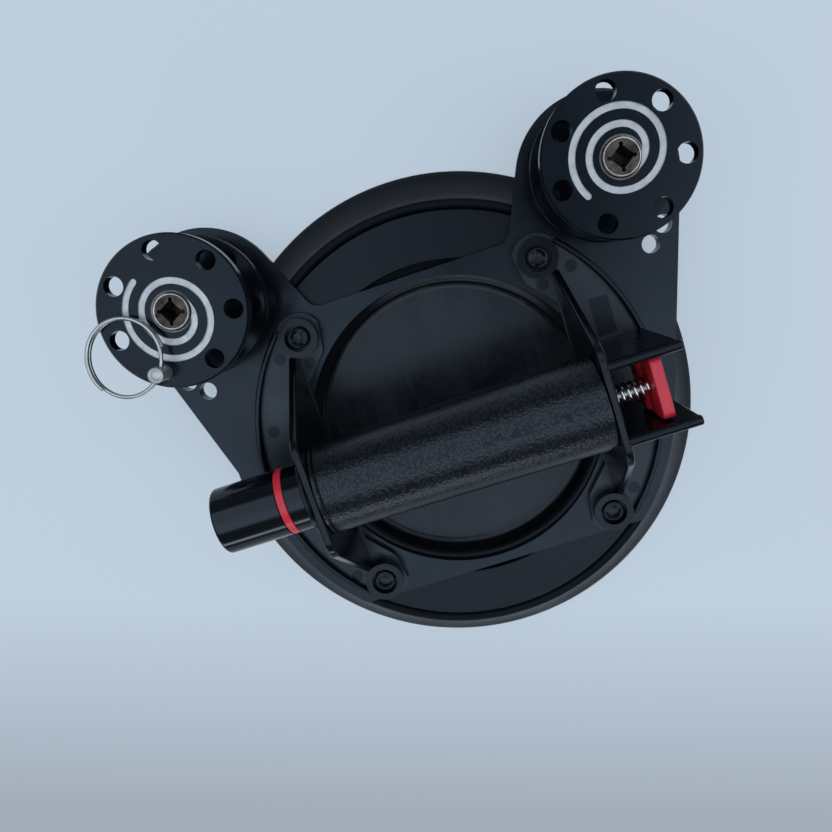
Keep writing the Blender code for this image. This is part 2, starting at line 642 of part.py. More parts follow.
def make_plunger(plunger_material, band_material, piston_material, seal_material, axis):
    """Hollow plunger with its red band in a groove, and the piston that is screwed to its inner end."""
    start = -PLUNGER_REACH
    band_start = BUSH_FACE_X - BAND_OFFSET - BAND_WIDTH
    band_end = band_start + BAND_WIDTH
    groove = PLUNGER_RADIUS - BAND_THICKNESS - TOUCH
    end = PISTON_X - TOUCH
    bore = PLUNGER_BORE_RADIUS
    soft = 0.3 * PLUNGER_EDGE
    profile = [(0, start), (PLUNGER_RADIUS - PLUNGER_EDGE, start), (PLUNGER_RADIUS - soft, start + soft),
               (PLUNGER_RADIUS, start + PLUNGER_EDGE), (PLUNGER_RADIUS, band_start - TOUCH),
               (groove, band_start - TOUCH), (groove, band_end + TOUCH),
               (PLUNGER_RADIUS, band_end + TOUCH), (PLUNGER_RADIUS, end), (bore, end),
               (bore, start + PLUNGER_CROWN), (0, start + PLUNGER_CROWN)]
    mesh = mesh_from("plunger", along_x(lathe(profile)))
    finish_object("plunger", mesh, plunger_material, parent=axis)
    band = tube(PLUNGER_RADIUS, PLUNGER_RADIUS - BAND_THICKNESS, band_start, band_end)
    finish_object("red_band", mesh_from("red_band", along_x(band)), band_material, parent=axis)
    middle = PISTON_X + PISTON_LENGTH / 2
    half = PISTON_GROOVE_WIDTH / 2
    floor = PISTON_RADIUS - PISTON_GROOVE_DEPTH
    piston = [(bore, PISTON_X), (PISTON_RADIUS, PISTON_X), (PISTON_RADIUS, middle - half),
              (floor, middle - half), (floor, middle + half), (PISTON_RADIUS, middle + half),
              (PISTON_RADIUS, PISTON_X + PISTON_LENGTH), (bore, PISTON_X + PISTON_LENGTH)]
    mesh = mesh_from("piston", along_x(lathe(piston, HIDDEN_STEPS)))
    finish_object("piston", mesh, piston_material, parent=axis)
    seal_start = middle - half + TOUCH
    seal_end = middle + half - TOUCH
    seal = tube(PISTON_RADIUS, floor + TOUCH, seal_start, seal_end, HIDDEN_STEPS)
    finish_object("piston_seal", mesh_from("piston_seal", along_x(seal)), seal_material, parent=axis)


def make_valve(plug_material, stem_material, seal_material, axis):
    """Valve plug in the right web, with a stem that the release lever pushes inwards."""
    inner = WEB_INNER_X - TOUCH - PLUG_LENGTH
    flange = WEB_INNER_X - TOUCH
    outer = WEB_OUTER_X + PLUG_STAND_OUT
    bore = STEM_RADIUS + RUNNING
    neck = PLUG_BORE_RADIUS - TOUCH
    profile = [(bore, inner), (BARREL_BORE - TOUCH, inner), (BARREL_BORE - TOUCH, flange),
               (neck, flange), (neck, outer), (bore, outer)]
    mesh = mesh_from("valve_plug", along_x(lathe(profile, HIDDEN_STEPS)))
    finish_object("valve_plug", mesh, plug_material, (0, 0, GRIP_Z))
    seal_x = inner - TOUCH - VALVE_SEAL_WIRE
    disc = seal_x - VALVE_SEAL_WIRE - TOUCH
    tip = LEVER_X - STEM_GAP
    head = disc - STEM_DISC_THICKNESS
    stem = [(0, head), (STEM_DISC_RADIUS, head), (STEM_DISC_RADIUS, disc), (STEM_RADIUS, disc),
            (STEM_RADIUS, tip), (0, tip)]
    mesh = mesh_from("valve_stem", along_x(lathe(stem, HIDDEN_STEPS)))
    finish_object("valve_stem", mesh, stem_material, parent=axis)
    center = (STEM_RADIUS + TOUCH + VALVE_SEAL_WIRE, seal_x)
    ring = along_x(lathe(arc(center, VALVE_SEAL_WIRE, 0, 360 - 360 / 6, 5), 12))
    finish_object("valve_seal", mesh_from("valve_seal", ring), seal_material, parent=axis)


def make_lever(material, pin_material, axis):
    """Red release lever on its cross pin; its origin is the pin's axis."""
    width = LEVER_HALF_WIDTH
    foot = LEVER_BOTTOM - LEVER_PIVOT_Z
    head = LEVER_TOP - LEVER_PIVOT_Z
    corners = [(-width, foot, LEVER_CORNER), (width, foot, LEVER_CORNER), (width, head, LEVER_CORNER),
               (-width, head, LEVER_CORNER)]
    half = LEVER_THICKNESS / 2
    mesh = mesh_from("release_lever", upright(rounded(corners), -half, half))
    lever = finish_object("release_lever", mesh, material, parent=axis)
    bevel = lever.modifiers.new("soft_edges", "BEVEL")
    bevel.width = LEVER_EDGE
    bevel.segments = 2
    bevel.limit_method = "ANGLE"
    bevel.angle_limit = math.radians(40)
    hub = tool("lever_hub", [turned(rod(LEVER_HUB_RADIUS, -width + MM, width - MM, 20), 90, "X")])
    cross = turned(rod(LEVER_PIN_RADIUS + TOUCH, -2 * width, 2 * width, 12), 90, "X")
    cutter = tool("lever_pin_hole", [cross])
    for helper, operation in ((hub, "UNION"), (cutter, "DIFFERENCE")):
        helper.location = axis.location
        boolean(lever, helper, operation)
    reach = GUARD_Y + GUARD_THICKNESS / 2 + LEVER_PIN_OVERHANG
    pin = turned(tube(LEVER_PIN_RADIUS, LEVER_PIN_BORE, -reach, reach, 12), 90, "X")
    finish_object("lever_pin", mesh_from("lever_pin", pin), pin_material, axis.location)


def make_springs(pump_material, lever_material):
    pump_start = PISTON_X + PISTON_LENGTH + TOUCH + PUMP_SPRING_WIRE
    pump_end = WEB_INNER_X - TOUCH - PLUG_LENGTH - TOUCH - PUMP_SPRING_WIRE
    coil = helix(PUMP_SPRING_RADIUS, pump_end - pump_start, PUMP_SPRING_TURNS, 7)
    spring = wire("pump_spring", coil, PUMP_SPRING_WIRE, pump_material, sides=0)
    spring.location = (pump_start, 0, GRIP_Z)
    lever_start = WEB_OUTER_X + PLUG_STAND_OUT + TOUCH + LEVER_SPRING_WIRE
    lever_end = LEVER_X - STEM_GAP - LEVER_SPRING_WIRE
    coil = helix(LEVER_SPRING_RADIUS, lever_end - lever_start, LEVER_SPRING_TURNS, 10)
    spring = wire("lever_spring", coil, LEVER_SPRING_WIRE, lever_material, sides=1)
    spring.location = (lever_start, 0, GRIP_Z)


def hole_place(side, number, turn=0.0):
    """Middle of one flange hole from the reel's axis, with the reel turned that many degrees."""
    angle = math.radians(FLANGE_HOLE_START_DEG[side] + 360 / FLANGE_HOLES * number + turn)
    return FLANGE_PITCH_RADIUS * math.cos(angle), FLANGE_PITCH_RADIUS * math.sin(angle)


def pin_place(turn=0.0):
    """Where the pin's flange hole is, or comes to when the reel has turned that many degrees."""
    x, y = hole_place("left", PIN_HOLE_NUMBER, turn)
    return x - REEL_X, y + REEL_Y


def spiral_line(side):
    """Centre line of the flange's spiral: half circles whose radius grows by one step each."""
    sign = SIDES[side]
    points = []
    radius = SPIRAL_FIRST_RADIUS
    center = 0.0
    start = 90.0
    for index in range(SPIRAL_HALF_TURNS):
        sweep = 180.0 if index < SPIRAL_HALF_TURNS - 1 else SPIRAL_LAST_SWEEP_DEG
        points += arc((0, center), radius, start, start - sweep, SPIRAL_STEPS)[1 if points else 0:]
        start -= 180.0
        direction = 1 if index % 2 == 0 else -1
        center += direction * SPIRAL_STEP
        radius += SPIRAL_STEP
    turn = Matrix.Rotation(math.radians(SPIRAL_TURN_DEG), 2)
    return [turn @ Vector((-sign * x, y)) for x, y in points]


def spiral_cutter(side, top):
    """The groove's slot, swept along the centre line with a round end."""
    line = spiral_line(side)
    half = SPIRAL_WIDTH / 2
    left, right = [], []
    for index, point in enumerate(line):
        ahead = line[min(index + 1, len(line) - 1)] - line[max(index - 1, 0)]
        normal = Vector((-ahead.y, ahead.x)).normalized() * half
        left.append(point + normal)
        right.append(point - normal)
    last = line[-1]
    tip = math.degrees(math.atan2(*(left[-1] - last).yx))
    way = -1 if (line[-1] - line[-2]).cross(left[-1] - last) > 0 else 1
    cap = [Vector(point) for point in arc(last, half, tip, tip + way * 180, 6)[1:-1]]
    outline = [tuple(point) for point in left + cap + list(reversed(right))]
    return prism(outline, top - SPIRAL_DEPTH, top + MM)


def flange_solid(bottom):
    top = bottom + FLANGE_THICKNESS
    return tube(FLANGE_RADIUS, SHAFT_RADIUS + TOUCH, bottom, top, FLANGE_STEPS, FLANGE_CHAMFER)


def flange_holes(side, bottom):
    low, high = bottom - MM, bottom + FLANGE_THICKNESS + MM
    places = [hole_place(side, number) for number in range(FLANGE_HOLES)]
    return [moved(rod(FLANGE_HOLE_RADIUS, low, high), (x, y, 0)) for x, y in places]


def make_reel(side, materials):
    """One winding reel: two drilled flanges and a core on a shaft with a square drive socket."""
    axis = make_empty(side + "_reel_axis", (SIDES[side] * REEL_X, REEL_Y, 0))
    for level, bottom in (("top", TOP_FLANGE_BOTTOM), ("lower", LOWER_FLANGE_BOTTOM)):
        name = side + "_" + level + "_flange"
        mesh = mesh_from(name, flange_solid(bottom))
        flange = finish_object(name, mesh, materials["flange"], parent=axis)
        cutter = tool(name + "_holes", flange_holes(side, bottom))
        cutter.location = axis.location
        boolean(flange, cutter, "DIFFERENCE")
        if level == "top":
            groove = tool(name + "_spiral", [spiral_cutter(side, TOP_FLANGE_TOP)])
            groove.location = axis.location
            boolean(flange, groove, "DIFFERENCE")
    core_bottom = LOWER_FLANGE_TOP + TOUCH
    core = tube(CORE_RADIUS, SHAFT_RADIUS + TOUCH, core_bottom, TOP_FLANGE_BOTTOM - TOUCH)
    finish_object(side + "_core", mesh_from(side + "_core", core), materials["flange"], parent=axis)
    make_shaft(side, axis, materials["shaft"])
    make_housing(side, materials["flange"])
    make_fastening(side, axis, materials["fastener"])


def make_fastening(side, axis, material):
    """Washer and nut on the spindle's end under the ear."""
    washer_top = PLATE_BOTTOM - TOUCH
    washer_bottom = washer_top - WASHER_THICKNESS
    washer = tube(WASHER_RADIUS, SPINDLE_RADIUS + TOUCH, washer_bottom, washer_top, HIDDEN_STEPS)
    finish_object(side + "_washer", mesh_from(side + "_washer", washer), material, parent=axis)
    nut_top = washer_bottom - TOUCH
    nut_bottom = nut_top - NUT_THICKNESS
    name = side + "_nut"
    mesh = mesh_from(name, prism(hexagon(NUT_ACROSS_FLATS), nut_bottom, nut_top))
    nut = finish_object(name, mesh, material, parent=axis)
    hole = rod(SPINDLE_RADIUS + TOUCH, nut_bottom - MM, nut_top + MM, HIDDEN_STEPS)
    bore = tool(name + "_bore", [hole])
    bore.location = axis.location
    boolean(nut, bore, "DIFFERENCE")


def make_shaft(side, axis, material):
    name = side + "_drive_shaft"
    shoulder = LOWER_FLANGE_BOTTOM - TOUCH
    profile = [(0, SPINDLE_END), (SPINDLE_RADIUS - SHAFT_CHAMFER, SPINDLE_END),
               (SPINDLE_RADIUS, SPINDLE_END + SHAFT_CHAMFER), (SPINDLE_RADIUS, shoulder),
               (SHAFT_RADIUS, shoulder), (SHAFT_RADIUS, SHAFT_TOP - SHAFT_CHAMFER),
               (SHAFT_RADIUS - SHAFT_CHAMFER, SHAFT_TOP), (0, SHAFT_TOP)]
    shaft = finish_object(name, mesh_from(name, lathe(profile, HIDDEN_STEPS)), material, parent=axis)
    half = DRIVE_SQUARE / 2
    corners = [(half, half), (-half, half), (-half, -half), (half, -half)]
    floor = SHAFT_TOP - DRIVE_DEPTH
    reliefs = [rod(DRIVE_RELIEF_RADIUS, floor, SHAFT_TOP + 2 * MM, 6) for corner in corners]
    solids = [prism(corners, floor, SHAFT_TOP + MM)]
    solids += [moved(relief, (x, y, 0)) for relief, (x, y) in zip(reliefs, corners)]
    for index, solid in enumerate(solids):
        turned(solid, DRIVE_TURN_DEG[side], "Z")
        cutter = tool(name + "_drive_" + str(index), [solid])
        cutter.location = axis.location
        boolean(shaft, cutter, "DIFFERENCE")


def make_housing(side, material):
    """Flanged bearing housing that stands on the ear and carries the spindle."""
    name = side + "_bearing_housing"
    bore = SPINDLE_RADIUS + RUNNING
    foot_top = PLATE_TOP + TOUCH + HOUSING_FOOT
    top = LOWER_FLANGE_BOTTOM - RUNNING
    profile = [(bore, PLATE_BOTTOM), (HOUSING_HUB_RADIUS, PLATE_BOTTOM),
               (HOUSING_HUB_RADIUS, PLATE_TOP + TOUCH), (HOUSING_RADIUS, PLATE_TOP + TOUCH),
               (HOUSING_RADIUS, foot_top), (HOUSING_HUB_RADIUS, foot_top), (HOUSING_HUB_RADIUS, top),
               (bore, top)]
    mesh = mesh_from(name, lathe(profile))
    finish_object(name, mesh, material, (SIDES[side] * REEL_X, REEL_Y, 0))


def make_lock_pin(material, axis):
    tip = PLATE_TOP + TOUCH
    profile = [(0, tip), (PIN_RADIUS - PIN_TIP_TAPER, tip), (PIN_RADIUS, tip + PIN_TIP_LENGTH),
               (PIN_RADIUS, PIN_TOP - PIN_CHAMFER), (PIN_RADIUS - PIN_CHAMFER, PIN_TOP), (0, PIN_TOP)]
    mesh = mesh_from("lock_pin", lathe(profile, HIDDEN_STEPS))
    pin = finish_object("lock_pin", mesh, material, parent=axis)
    cross = turned(rod(PIN_CROSS_HOLE_RADIUS, -2 * PIN_RADIUS, 2 * PIN_RADIUS, 14), 90, "X")
    turned(cross, RING_BEARING_DEG, "Z")
    cutter = tool("pin_cross_hole", [moved(cross, (0, 0, PIN_CROSS_HOLE_Z))])
    cutter.location = axis.location
    boolean(pin, cutter, "DIFFERENCE")


def ring_tilt():
    """How far the ring leans down from the cross hole to where it lies on the flange's edge."""
    x, y = pin_place()
    heading = Vector((1, 0))
    heading.rotate(Matrix.Rotation(math.radians(RING_BEARING_DEG), 2))
    pin = Vector((x + REEL_X, y - REEL_Y))
    middle = pin + heading * RING_RADIUS
    span = middle.length
    outer = RING_RADIUS + RING_WIRE
    along = (span ** 2 + FLANGE_RADIUS ** 2 - outer ** 2) / (2 * span)
    across = math.sqrt(FLANGE_RADIUS ** 2 - along ** 2)
    toward = middle.normalized()
    sideways = Vector((-toward.y, toward.x))
    reach = max((toward * along + sideways * way * across - pin).dot(heading) for way in (-1, 1))
    drop = PIN_CROSS_HOLE_Z - (TOP_FLANGE_TOP + TOUCH + RING_PITCH / 2 + RING_WIRE)
    return math.asin(drop / reach)


def make_split_ring(material, axis):
    """Two flat turns of wire through the pin's cross hole; the hinge is the hole's own axis."""
    points = []
    steps = 24
    for step in range(2 * steps + 1):
        angle = 2 * math.pi * step / steps
        height = RING_PITCH * (step / steps - 1)
        points.append((RING_RADIUS * (1 + math.cos(angle)), RING_RADIUS * math.sin(angle), height))
    ring = wire("split_ring", points, RING_WIRE, material, sides=1)
    ring.parent = axis
    ring.rotation_euler = (0, ring_tilt(), math.radians(RING_BEARING_DEG))
    return ring


def make_nipple(material):
    bottom = DISC_TOP - DISC_THICKNESS
    top = FLOOR_TOP - NIPPLE_ROOF - TOUCH
    body = tube(NIPPLE_RADIUS, NIPPLE_BORE, bottom, top, HIDDEN_STEPS)
    place = (NIPPLE_X, NIPPLE_Y, 0)
    finish_object("air_nipple", mesh_from("air_nipple", body), material, place)


def build():
    clear_scene()
    rubber = make_material("cup_rubber", (0.012, 0.013, 0.016), 0.55)
    disc_black = make_material("disc_anodised", (0.020, 0.022, 0.028), 0.45, 0.6)
    plate_black = make_material("plate_powder_coat", (0.013, 0.014, 0.018), 0.5, 0.2)
    nylon = make_material("bracket_nylon", (0.012, 0.013, 0.016), 0.35)
    grip_black = make_material("grip_vinyl", (0.010, 0.011, 0.013), 0.6)
    gloss = make_material("plunger_gloss", (0.010, 0.010, 0.012), 0.15)
    red = make_material("signal_red", (0.62, 0.012, 0.030), 0.35)
    acetal = make_material("bush_acetal", (0.015, 0.015, 0.017), 0.4)
    anodised = make_material("flange_anodised", (0.014, 0.015, 0.020), 0.35, 0.7)
    steel = make_material("shaft_steel", (0.36, 0.34, 0.31), 0.35, 1.0)
    chrome = make_material("bright_chrome", (0.80, 0.80, 0.80), 0.12, 1.0)
    screw_black = make_material("screw_black_oxide", (0.03, 0.03, 0.033), 0.35, 0.9)
    brass = make_material("pin_brass", (0.62, 0.45, 0.24), 0.3, 1.0)
    aluminium = make_material("bare_aluminium", (0.70, 0.70, 0.70), 0.35, 1.0)

    make_cup(rubber)
    make_backing_disc(disc_black)
    make_plate(plate_black)
    make_bracket("left", nylon)
    make_bracket("right", nylon)
    make_screws(screw_black)
    make_grip(grip_black, aluminium)
    make_bush(acetal)
    plunger_axis = make_empty("plunger_axis", (0, 0, GRIP_Z))
    make_plunger(gloss, red, acetal, rubber, plunger_axis)
    valve_axis = make_empty("valve_axis", (0, 0, GRIP_Z))
    make_valve(acetal, steel, rubber, valve_axis)
    lever_axis = make_empty("lever_axis", (LEVER_X + LEVER_THICKNESS / 2, 0, LEVER_PIVOT_Z))
    make_lever(red, brass, lever_axis)
    make_springs(steel, chrome)
    reel_materials = {"flange": anodised, "shaft": steel, "fastener": steel}
    for side in SIDES:
        make_reel(side, reel_materials)
    pin_axis = make_empty("lock_pin_axis", (*pin_place(), 0))
    make_lock_pin(chrome, pin_axis)
    ring_axis = make_empty("split_ring_axis", (*pin_place(), PIN_CROSS_HOLE_Z))
    make_split_ring(chrome, ring_axis)
    make_nipple(steel)


build()
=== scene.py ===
# %% [markdown]
# # A glass suction cup with two winding reels
# The tool holds on to a windscreen while a cutting wire is wound in. A rubber cup carries a black
# disc and a plate with two ears. Each ear has a winding reel. Two moulded brackets hold the pump,
# which is also the handle, and a red lever lets the air back in. The CAD frame gives every piece its
# place, so this notebook makes the fine surfaces, the finishes, the light and the camera.
#
# Two values serve throughout. Pieces that seat on each other keep a gap of TOUCH, and the photo's
# upward direction is turned PHOTO_TURN degrees from +Y, so patterns that follow the photo turn by it.

# %% Load the frame
import json
import math

import bmesh
import bpy
from mathutils import Matrix, Vector


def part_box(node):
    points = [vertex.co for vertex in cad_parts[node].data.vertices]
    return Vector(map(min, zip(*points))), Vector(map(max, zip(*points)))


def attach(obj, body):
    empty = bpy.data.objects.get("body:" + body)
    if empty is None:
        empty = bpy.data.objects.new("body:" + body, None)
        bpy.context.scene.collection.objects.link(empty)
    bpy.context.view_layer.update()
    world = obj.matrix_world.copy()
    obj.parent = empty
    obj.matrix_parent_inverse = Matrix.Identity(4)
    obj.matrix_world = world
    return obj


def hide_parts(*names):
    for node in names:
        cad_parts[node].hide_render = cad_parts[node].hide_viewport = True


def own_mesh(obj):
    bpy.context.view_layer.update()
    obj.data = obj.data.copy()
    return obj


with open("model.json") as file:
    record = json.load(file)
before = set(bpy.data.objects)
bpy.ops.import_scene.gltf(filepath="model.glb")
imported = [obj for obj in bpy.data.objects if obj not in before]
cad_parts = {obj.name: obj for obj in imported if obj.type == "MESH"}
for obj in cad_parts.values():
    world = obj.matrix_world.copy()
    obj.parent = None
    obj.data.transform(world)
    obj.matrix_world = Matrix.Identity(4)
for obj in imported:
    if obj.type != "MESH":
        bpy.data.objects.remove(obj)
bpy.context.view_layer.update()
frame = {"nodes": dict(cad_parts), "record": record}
MM = 0.001
TOUCH = 0.3 * MM
PHOTO_TURN = 18.1

# %% [markdown]
# ## Drawing with lines and arcs
# A turned or flat piece starts as one line drawn in a plane: straight runs and arcs, as on a
# drawing. An arc is a single point spun round its centre, so its ends stay exact. The drawn line is
# then spun round Z for turned pieces, or filled and raised for flat ones. Drawing the outline this
# way keeps each size readable, which a list of finished corners wouldn't.

# %% Pen that draws straight runs and arcs
AXES = {"flat": (0, 0, 1), "side": (0, -1, 0)}
MERGE = 0.002 * MM


def in_mm(*points):
    """Gives points that are written in millimetres in metres."""
    return [(across * MM, up * MM) for across, up in points]


def to_space(plane, point):
    """A drawing's (across, up) point in space: flat drawings lie in XY, side ones in XZ."""
    across, up = point
    return Vector((across, up, 0)) if plane == "flat" else Vector((across, 0, up))


def draw(start, moves, plane="side", closed=False, steps=12):
    """Draws (x, y) points and (centre x, centre y, degrees) arcs, and gives the bmesh of the line."""
    drawing = bmesh.new()
    pen = first = drawing.verts.new(to_space(plane, start))
    for move in moves:
        if len(move) == 2:
            tip = drawing.verts.new(to_space(plane, move))
            drawing.edges.new((pen, tip))
            pen = tip
        else:
            swept = bmesh.ops.spin(drawing, geom=[pen], cent=to_space(plane, move[:2]), axis=AXES[plane],
                                   dvec=(0, 0, 0), angle=math.radians(move[2]), steps=steps,
                                   use_merge=False, use_duplicate=False)
            pen = [part for part in swept["geom_last"] if isinstance(part, bmesh.types.BMVert)][0]
    if closed:
        drawing.edges.new((pen, first))
    bmesh.ops.remove_doubles(drawing, verts=drawing.verts, dist=MERGE)
    return drawing


print("Pen ready for", " and ".join(AXES), "drawings")

# %% [markdown]
# ## From a line to a solid
# Most of these pieces come off a lathe or out of a flat sheet, and two operators match that: spin
# turns a side drawing into a round solid, and extrude raises a filled flat one. A full spin leaves
# its first and last line in one place, so the doubles are merged and the normals worked out again.

# %% Turn a drawing on the lathe, or raise it from the flat
CENTRE = (0, 0, 0)


def turn(drawing, steps=96):
    """Spins a side drawing round Z into a closed solid."""
    bmesh.ops.spin(drawing, geom=drawing.verts[:] + drawing.edges[:], cent=CENTRE, axis=(0, 0, 1),
                   dvec=(0, 0, 0), angle=2 * math.pi, steps=steps, use_merge=True, use_duplicate=False)
    bmesh.ops.remove_doubles(drawing, verts=drawing.verts, dist=MERGE)
    bmesh.ops.recalc_face_normals(drawing, faces=drawing.faces)
    return drawing


def raise_up(drawing, bottom, top):
    """Fills a closed flat drawing and makes it solid between two heights."""
    bmesh.ops.contextual_create(drawing, geom=drawing.edges[:])
    bmesh.ops.translate(drawing, verts=drawing.verts, vec=(0, 0, bottom))
    raised = bmesh.ops.extrude_face_region(drawing, geom=drawing.faces[:])
    lid = [part for part in raised["geom"] if isinstance(part, bmesh.types.BMVert)]
    bmesh.ops.translate(drawing, verts=lid, vec=(0, 0, top - bottom))
    bmesh.ops.recalc_face_normals(drawing, faces=drawing.faces)
    return drawing


def post(radius, bottom, top, spot=(0, 0), steps=48):
    """A round post or drill, standing at a spot."""
    solid = bmesh.new()
    bmesh.ops.create_cone(solid, cap_ends=True, segments=steps, radius1=radius, radius2=radius,
                          depth=top - bottom,
                          matrix=Matrix.Translation((spot[0], spot[1], (top + bottom) / 2)))
    return solid


def shift(solid, offset):
    bmesh.ops.translate(solid, verts=solid.verts, vec=offset)
    return solid


def swing(solid, degrees, axis="Z", about=CENTRE):
    bmesh.ops.rotate(solid, verts=solid.verts, cent=about,
                     matrix=Matrix.Rotation(math.radians(degrees), 3, axis))
    return solid


def along_grip(solid, height):
    """Lays a piece that was turned round Z along +X at the grip's height."""
    return shift(swing(solid, 90, "Y"), (0, 0, height))


print("Lathe and press ready")

# %% [markdown]
# ## Cutting and joining
# Drilled holes, sockets and moulded bosses are Boolean steps, as in the shop: one body is cut or
# joined by others. The modifier runs at once on a scratch object and its result comes back as a
# bmesh, so a finished piece carries no hidden tools with it.

# %% Boolean step on bmeshes
def scratch(solid):
    mesh = bpy.data.meshes.new("scratch")
    solid.to_mesh(mesh)
    solid.free()
    item = bpy.data.objects.new("scratch", mesh)
    bpy.context.collection.objects.link(item)
    return item


def combine(body, others, operation):
    """Joins or cuts body by each of the others and gives the result as a bmesh."""
    item = scratch(body)
    tools = [scratch(other) for other in others]
    for other in tools:
        step = item.modifiers.new("step", "BOOLEAN")
        step.operation = operation
        step.solver = "EXACT"
        step.object = other
    result = bmesh.new()
    result.from_object(item, bpy.context.evaluated_depsgraph_get())
    for scrap in [item] + tools:
        mesh = scrap.data
        bpy.data.objects.remove(scrap)
        bpy.data.meshes.remove(mesh)
    bmesh.ops.remove_doubles(result, verts=result.verts, dist=MERGE)
    return result


def cut(body, *others):
    return combine(body, others, "DIFFERENCE")


def join(body, *others):
    return combine(body, others, "UNION")


print("Boolean steps ready")

# %% [markdown]
# ## Soft edges and hand-over
# No real edge is perfectly sharp. Each piece gets a small bevel where two faces meet at an angle,
# because the thin bright line that it catches is most of what shows on black parts. Weighted normals
# then keep the flat faces flat in the light, with the bend of the shading left to the bevels. Last,
# the piece rides on its CAD body, hides the plain node it stands for, and takes its finish slot.

# %% Finish a piece and give it to the frame
SLOTS = {entry["node"]: entry["material_slot"] for entry in frame["record"]["subparts"]}
BODIES = frame["record"]["behaviour"]["bodies"]
BODY_OF = {node: body for body, nodes in BODIES.items() for node in nodes}


def soften(solid, width, segments=2, angle=35):
    """Bevels the edges between faces that meet more sharply than the angle."""
    sharp = [edge for edge in solid.edges
             if len(edge.link_faces) == 2 and edge.calc_face_angle(0) > math.radians(angle)]
    bmesh.ops.bevel(solid, geom=sharp, affect="EDGES", offset=width, offset_type="OFFSET",
                    segments=segments, profile=0.5, material=-1, clamp_overlap=True)
    return solid


def hand_over(solid, node, materials, smooth=38):
    """Makes the finished object for a CAD node, in place and riding on its body."""
    bmesh.ops.recalc_face_normals(solid, faces=solid.faces)
    mesh = bpy.data.meshes.new(node)
    solid.to_mesh(mesh)
    solid.free()
    mesh.shade_smooth()
    mesh.set_sharp_from_angle(angle=math.radians(smooth))
    for material in materials:
        mesh.materials.append(material)
    piece = bpy.data.objects.new("fine_" + node, mesh)
    bpy.context.collection.objects.link(piece)
    even = piece.modifiers.new("even_normals", "WEIGHTED_NORMAL")
    even.keep_sharp = True
    even.weight = 80
    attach(piece, BODY_OF[node])
    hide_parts(node)
    print("%s: %d faces" % (piece.name, len(mesh.polygons)))
    return piece


print("Slots known:", len(set(SLOTS.values())))

# %% [markdown]
# ## Places and rings
# A new piece must sit where its plain CAD piece sits, so its place and its ends are read from that
# piece's box and not typed again. Many pieces are plain rings with broken edges, such as the disc,
# the flanges and the washers, so one helper turns them all.

# %% Places of the CAD pieces, and a plain ring
def low(node):
    return Vector(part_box(node)[0])


def high(node):
    return Vector(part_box(node)[1])


def centre_of(node):
    return low(node).lerp(high(node), 0.5)


def over_node(solid, node):
    """Moves a solid that was made round Z to where its node stands, and leaves its height."""
    return shift(solid, (*centre_of(node).xy, 0))


def ring_blank(bore, radius, bottom, top, edge, lead=0.0, steps=72):
    """A ring with its outer edges broken by edge, and its bore opened at the top by lead."""
    mouth = [(bore + lead, top), (bore, top - lead)] if lead else [(bore, top)]
    return turn(draw((bore, bottom), [
        (radius - edge, bottom), (radius, bottom + edge), (radius, top - edge), (radius - edge, top),
        *mouth], closed=True), steps)


print("The cup's middle lies at", tuple(round(value / MM, 1) for value in centre_of("rubber_cup")))

# %% [markdown]
# ## Finishes
# Nearly everything here is black, so the finishes differ by sheen and grain. One recipe covers the
# black parts: a base colour that drifts a little, a roughness that drifts too, and a fine grain as a
# bump. All patterns read Object coordinates in metres, so they stay put on the moving pieces.

# %% Node helpers
def add_node(tree, kind, inputs=None, **settings):
    node = tree.nodes.new(kind)
    for key, value in settings.items():
        setattr(node, key, value)
    for key, value in (inputs or {}).items():
        if isinstance(value, bpy.types.NodeSocket):
            tree.links.new(value, node.inputs[key])
        else:
            node.inputs[key].default_value = value
    return node


def new_finish(name):
    material = bpy.data.materials.new(name)
    material.use_nodes = True
    tree = material.node_tree
    shader = tree.nodes["Principled BSDF"]
    place_on_piece = add_node(tree, "ShaderNodeTexCoord").outputs["Object"]
    return material, tree, shader, place_on_piece


def noise(tree, spot, scale, detail=2.0, roughness=0.5):
    return add_node(tree, "ShaderNodeTexNoise", {"Vector": spot, "Scale": scale, "Detail": detail,
                                                 "Roughness": roughness}).outputs["Fac"]


def spread(tree, value, from_low, from_high, to_low, to_high):
    """Maps one range to another, held at both ends."""
    return add_node(tree, "ShaderNodeMapRange", {
        "Value": value, "From Min": from_low, "From Max": from_high,
        "To Min": to_low, "To Max": to_high}).outputs["Result"]


def blend(tree, share, first, second):
    """Mixes two colours by a share."""
    mixer = tree.nodes.new("ShaderNodeMix")
    mixer.data_type = "RGBA"
    sockets = (mixer.inputs[0], mixer.inputs[6], mixer.inputs[7])
    for socket, value in zip(sockets, (share, first, second)):
        if isinstance(value, bpy.types.NodeSocket):
            tree.links.new(value, socket)
        else:
            socket.default_value = value if isinstance(value, float) else (*value, 1.0)
    return mixer.outputs[2]


def reckon(tree, operation, first, second):
    return add_node(tree, "ShaderNodeMath", {0: first, 1: second}, operation=operation).outputs[0]


def mapped(tree, spot, degrees, scale=(1, 1, 1)):
    """Turns a pattern round Z and stretches it."""
    return add_node(tree, "ShaderNodeMapping", {
        "Vector": spot, "Rotation": (0, 0, math.radians(degrees)), "Scale": scale}).outputs["Vector"]


def emboss(tree, shader, height, depth):
    """Adds a height pattern to the shader as a bump of that many metres."""
    bump = add_node(tree, "ShaderNodeBump", {"Height": height, "Distance": depth, "Strength": 1.0})
    tree.links.new(bump.outputs["Normal"], shader.inputs["Normal"])


def paint(tree, shader, share, first, second):
    """Gives the shader a base colour that runs from the first to the second by a share."""
    tree.links.new(blend(tree, share, first, second), shader.inputs["Base Color"])


print("Node helpers ready")

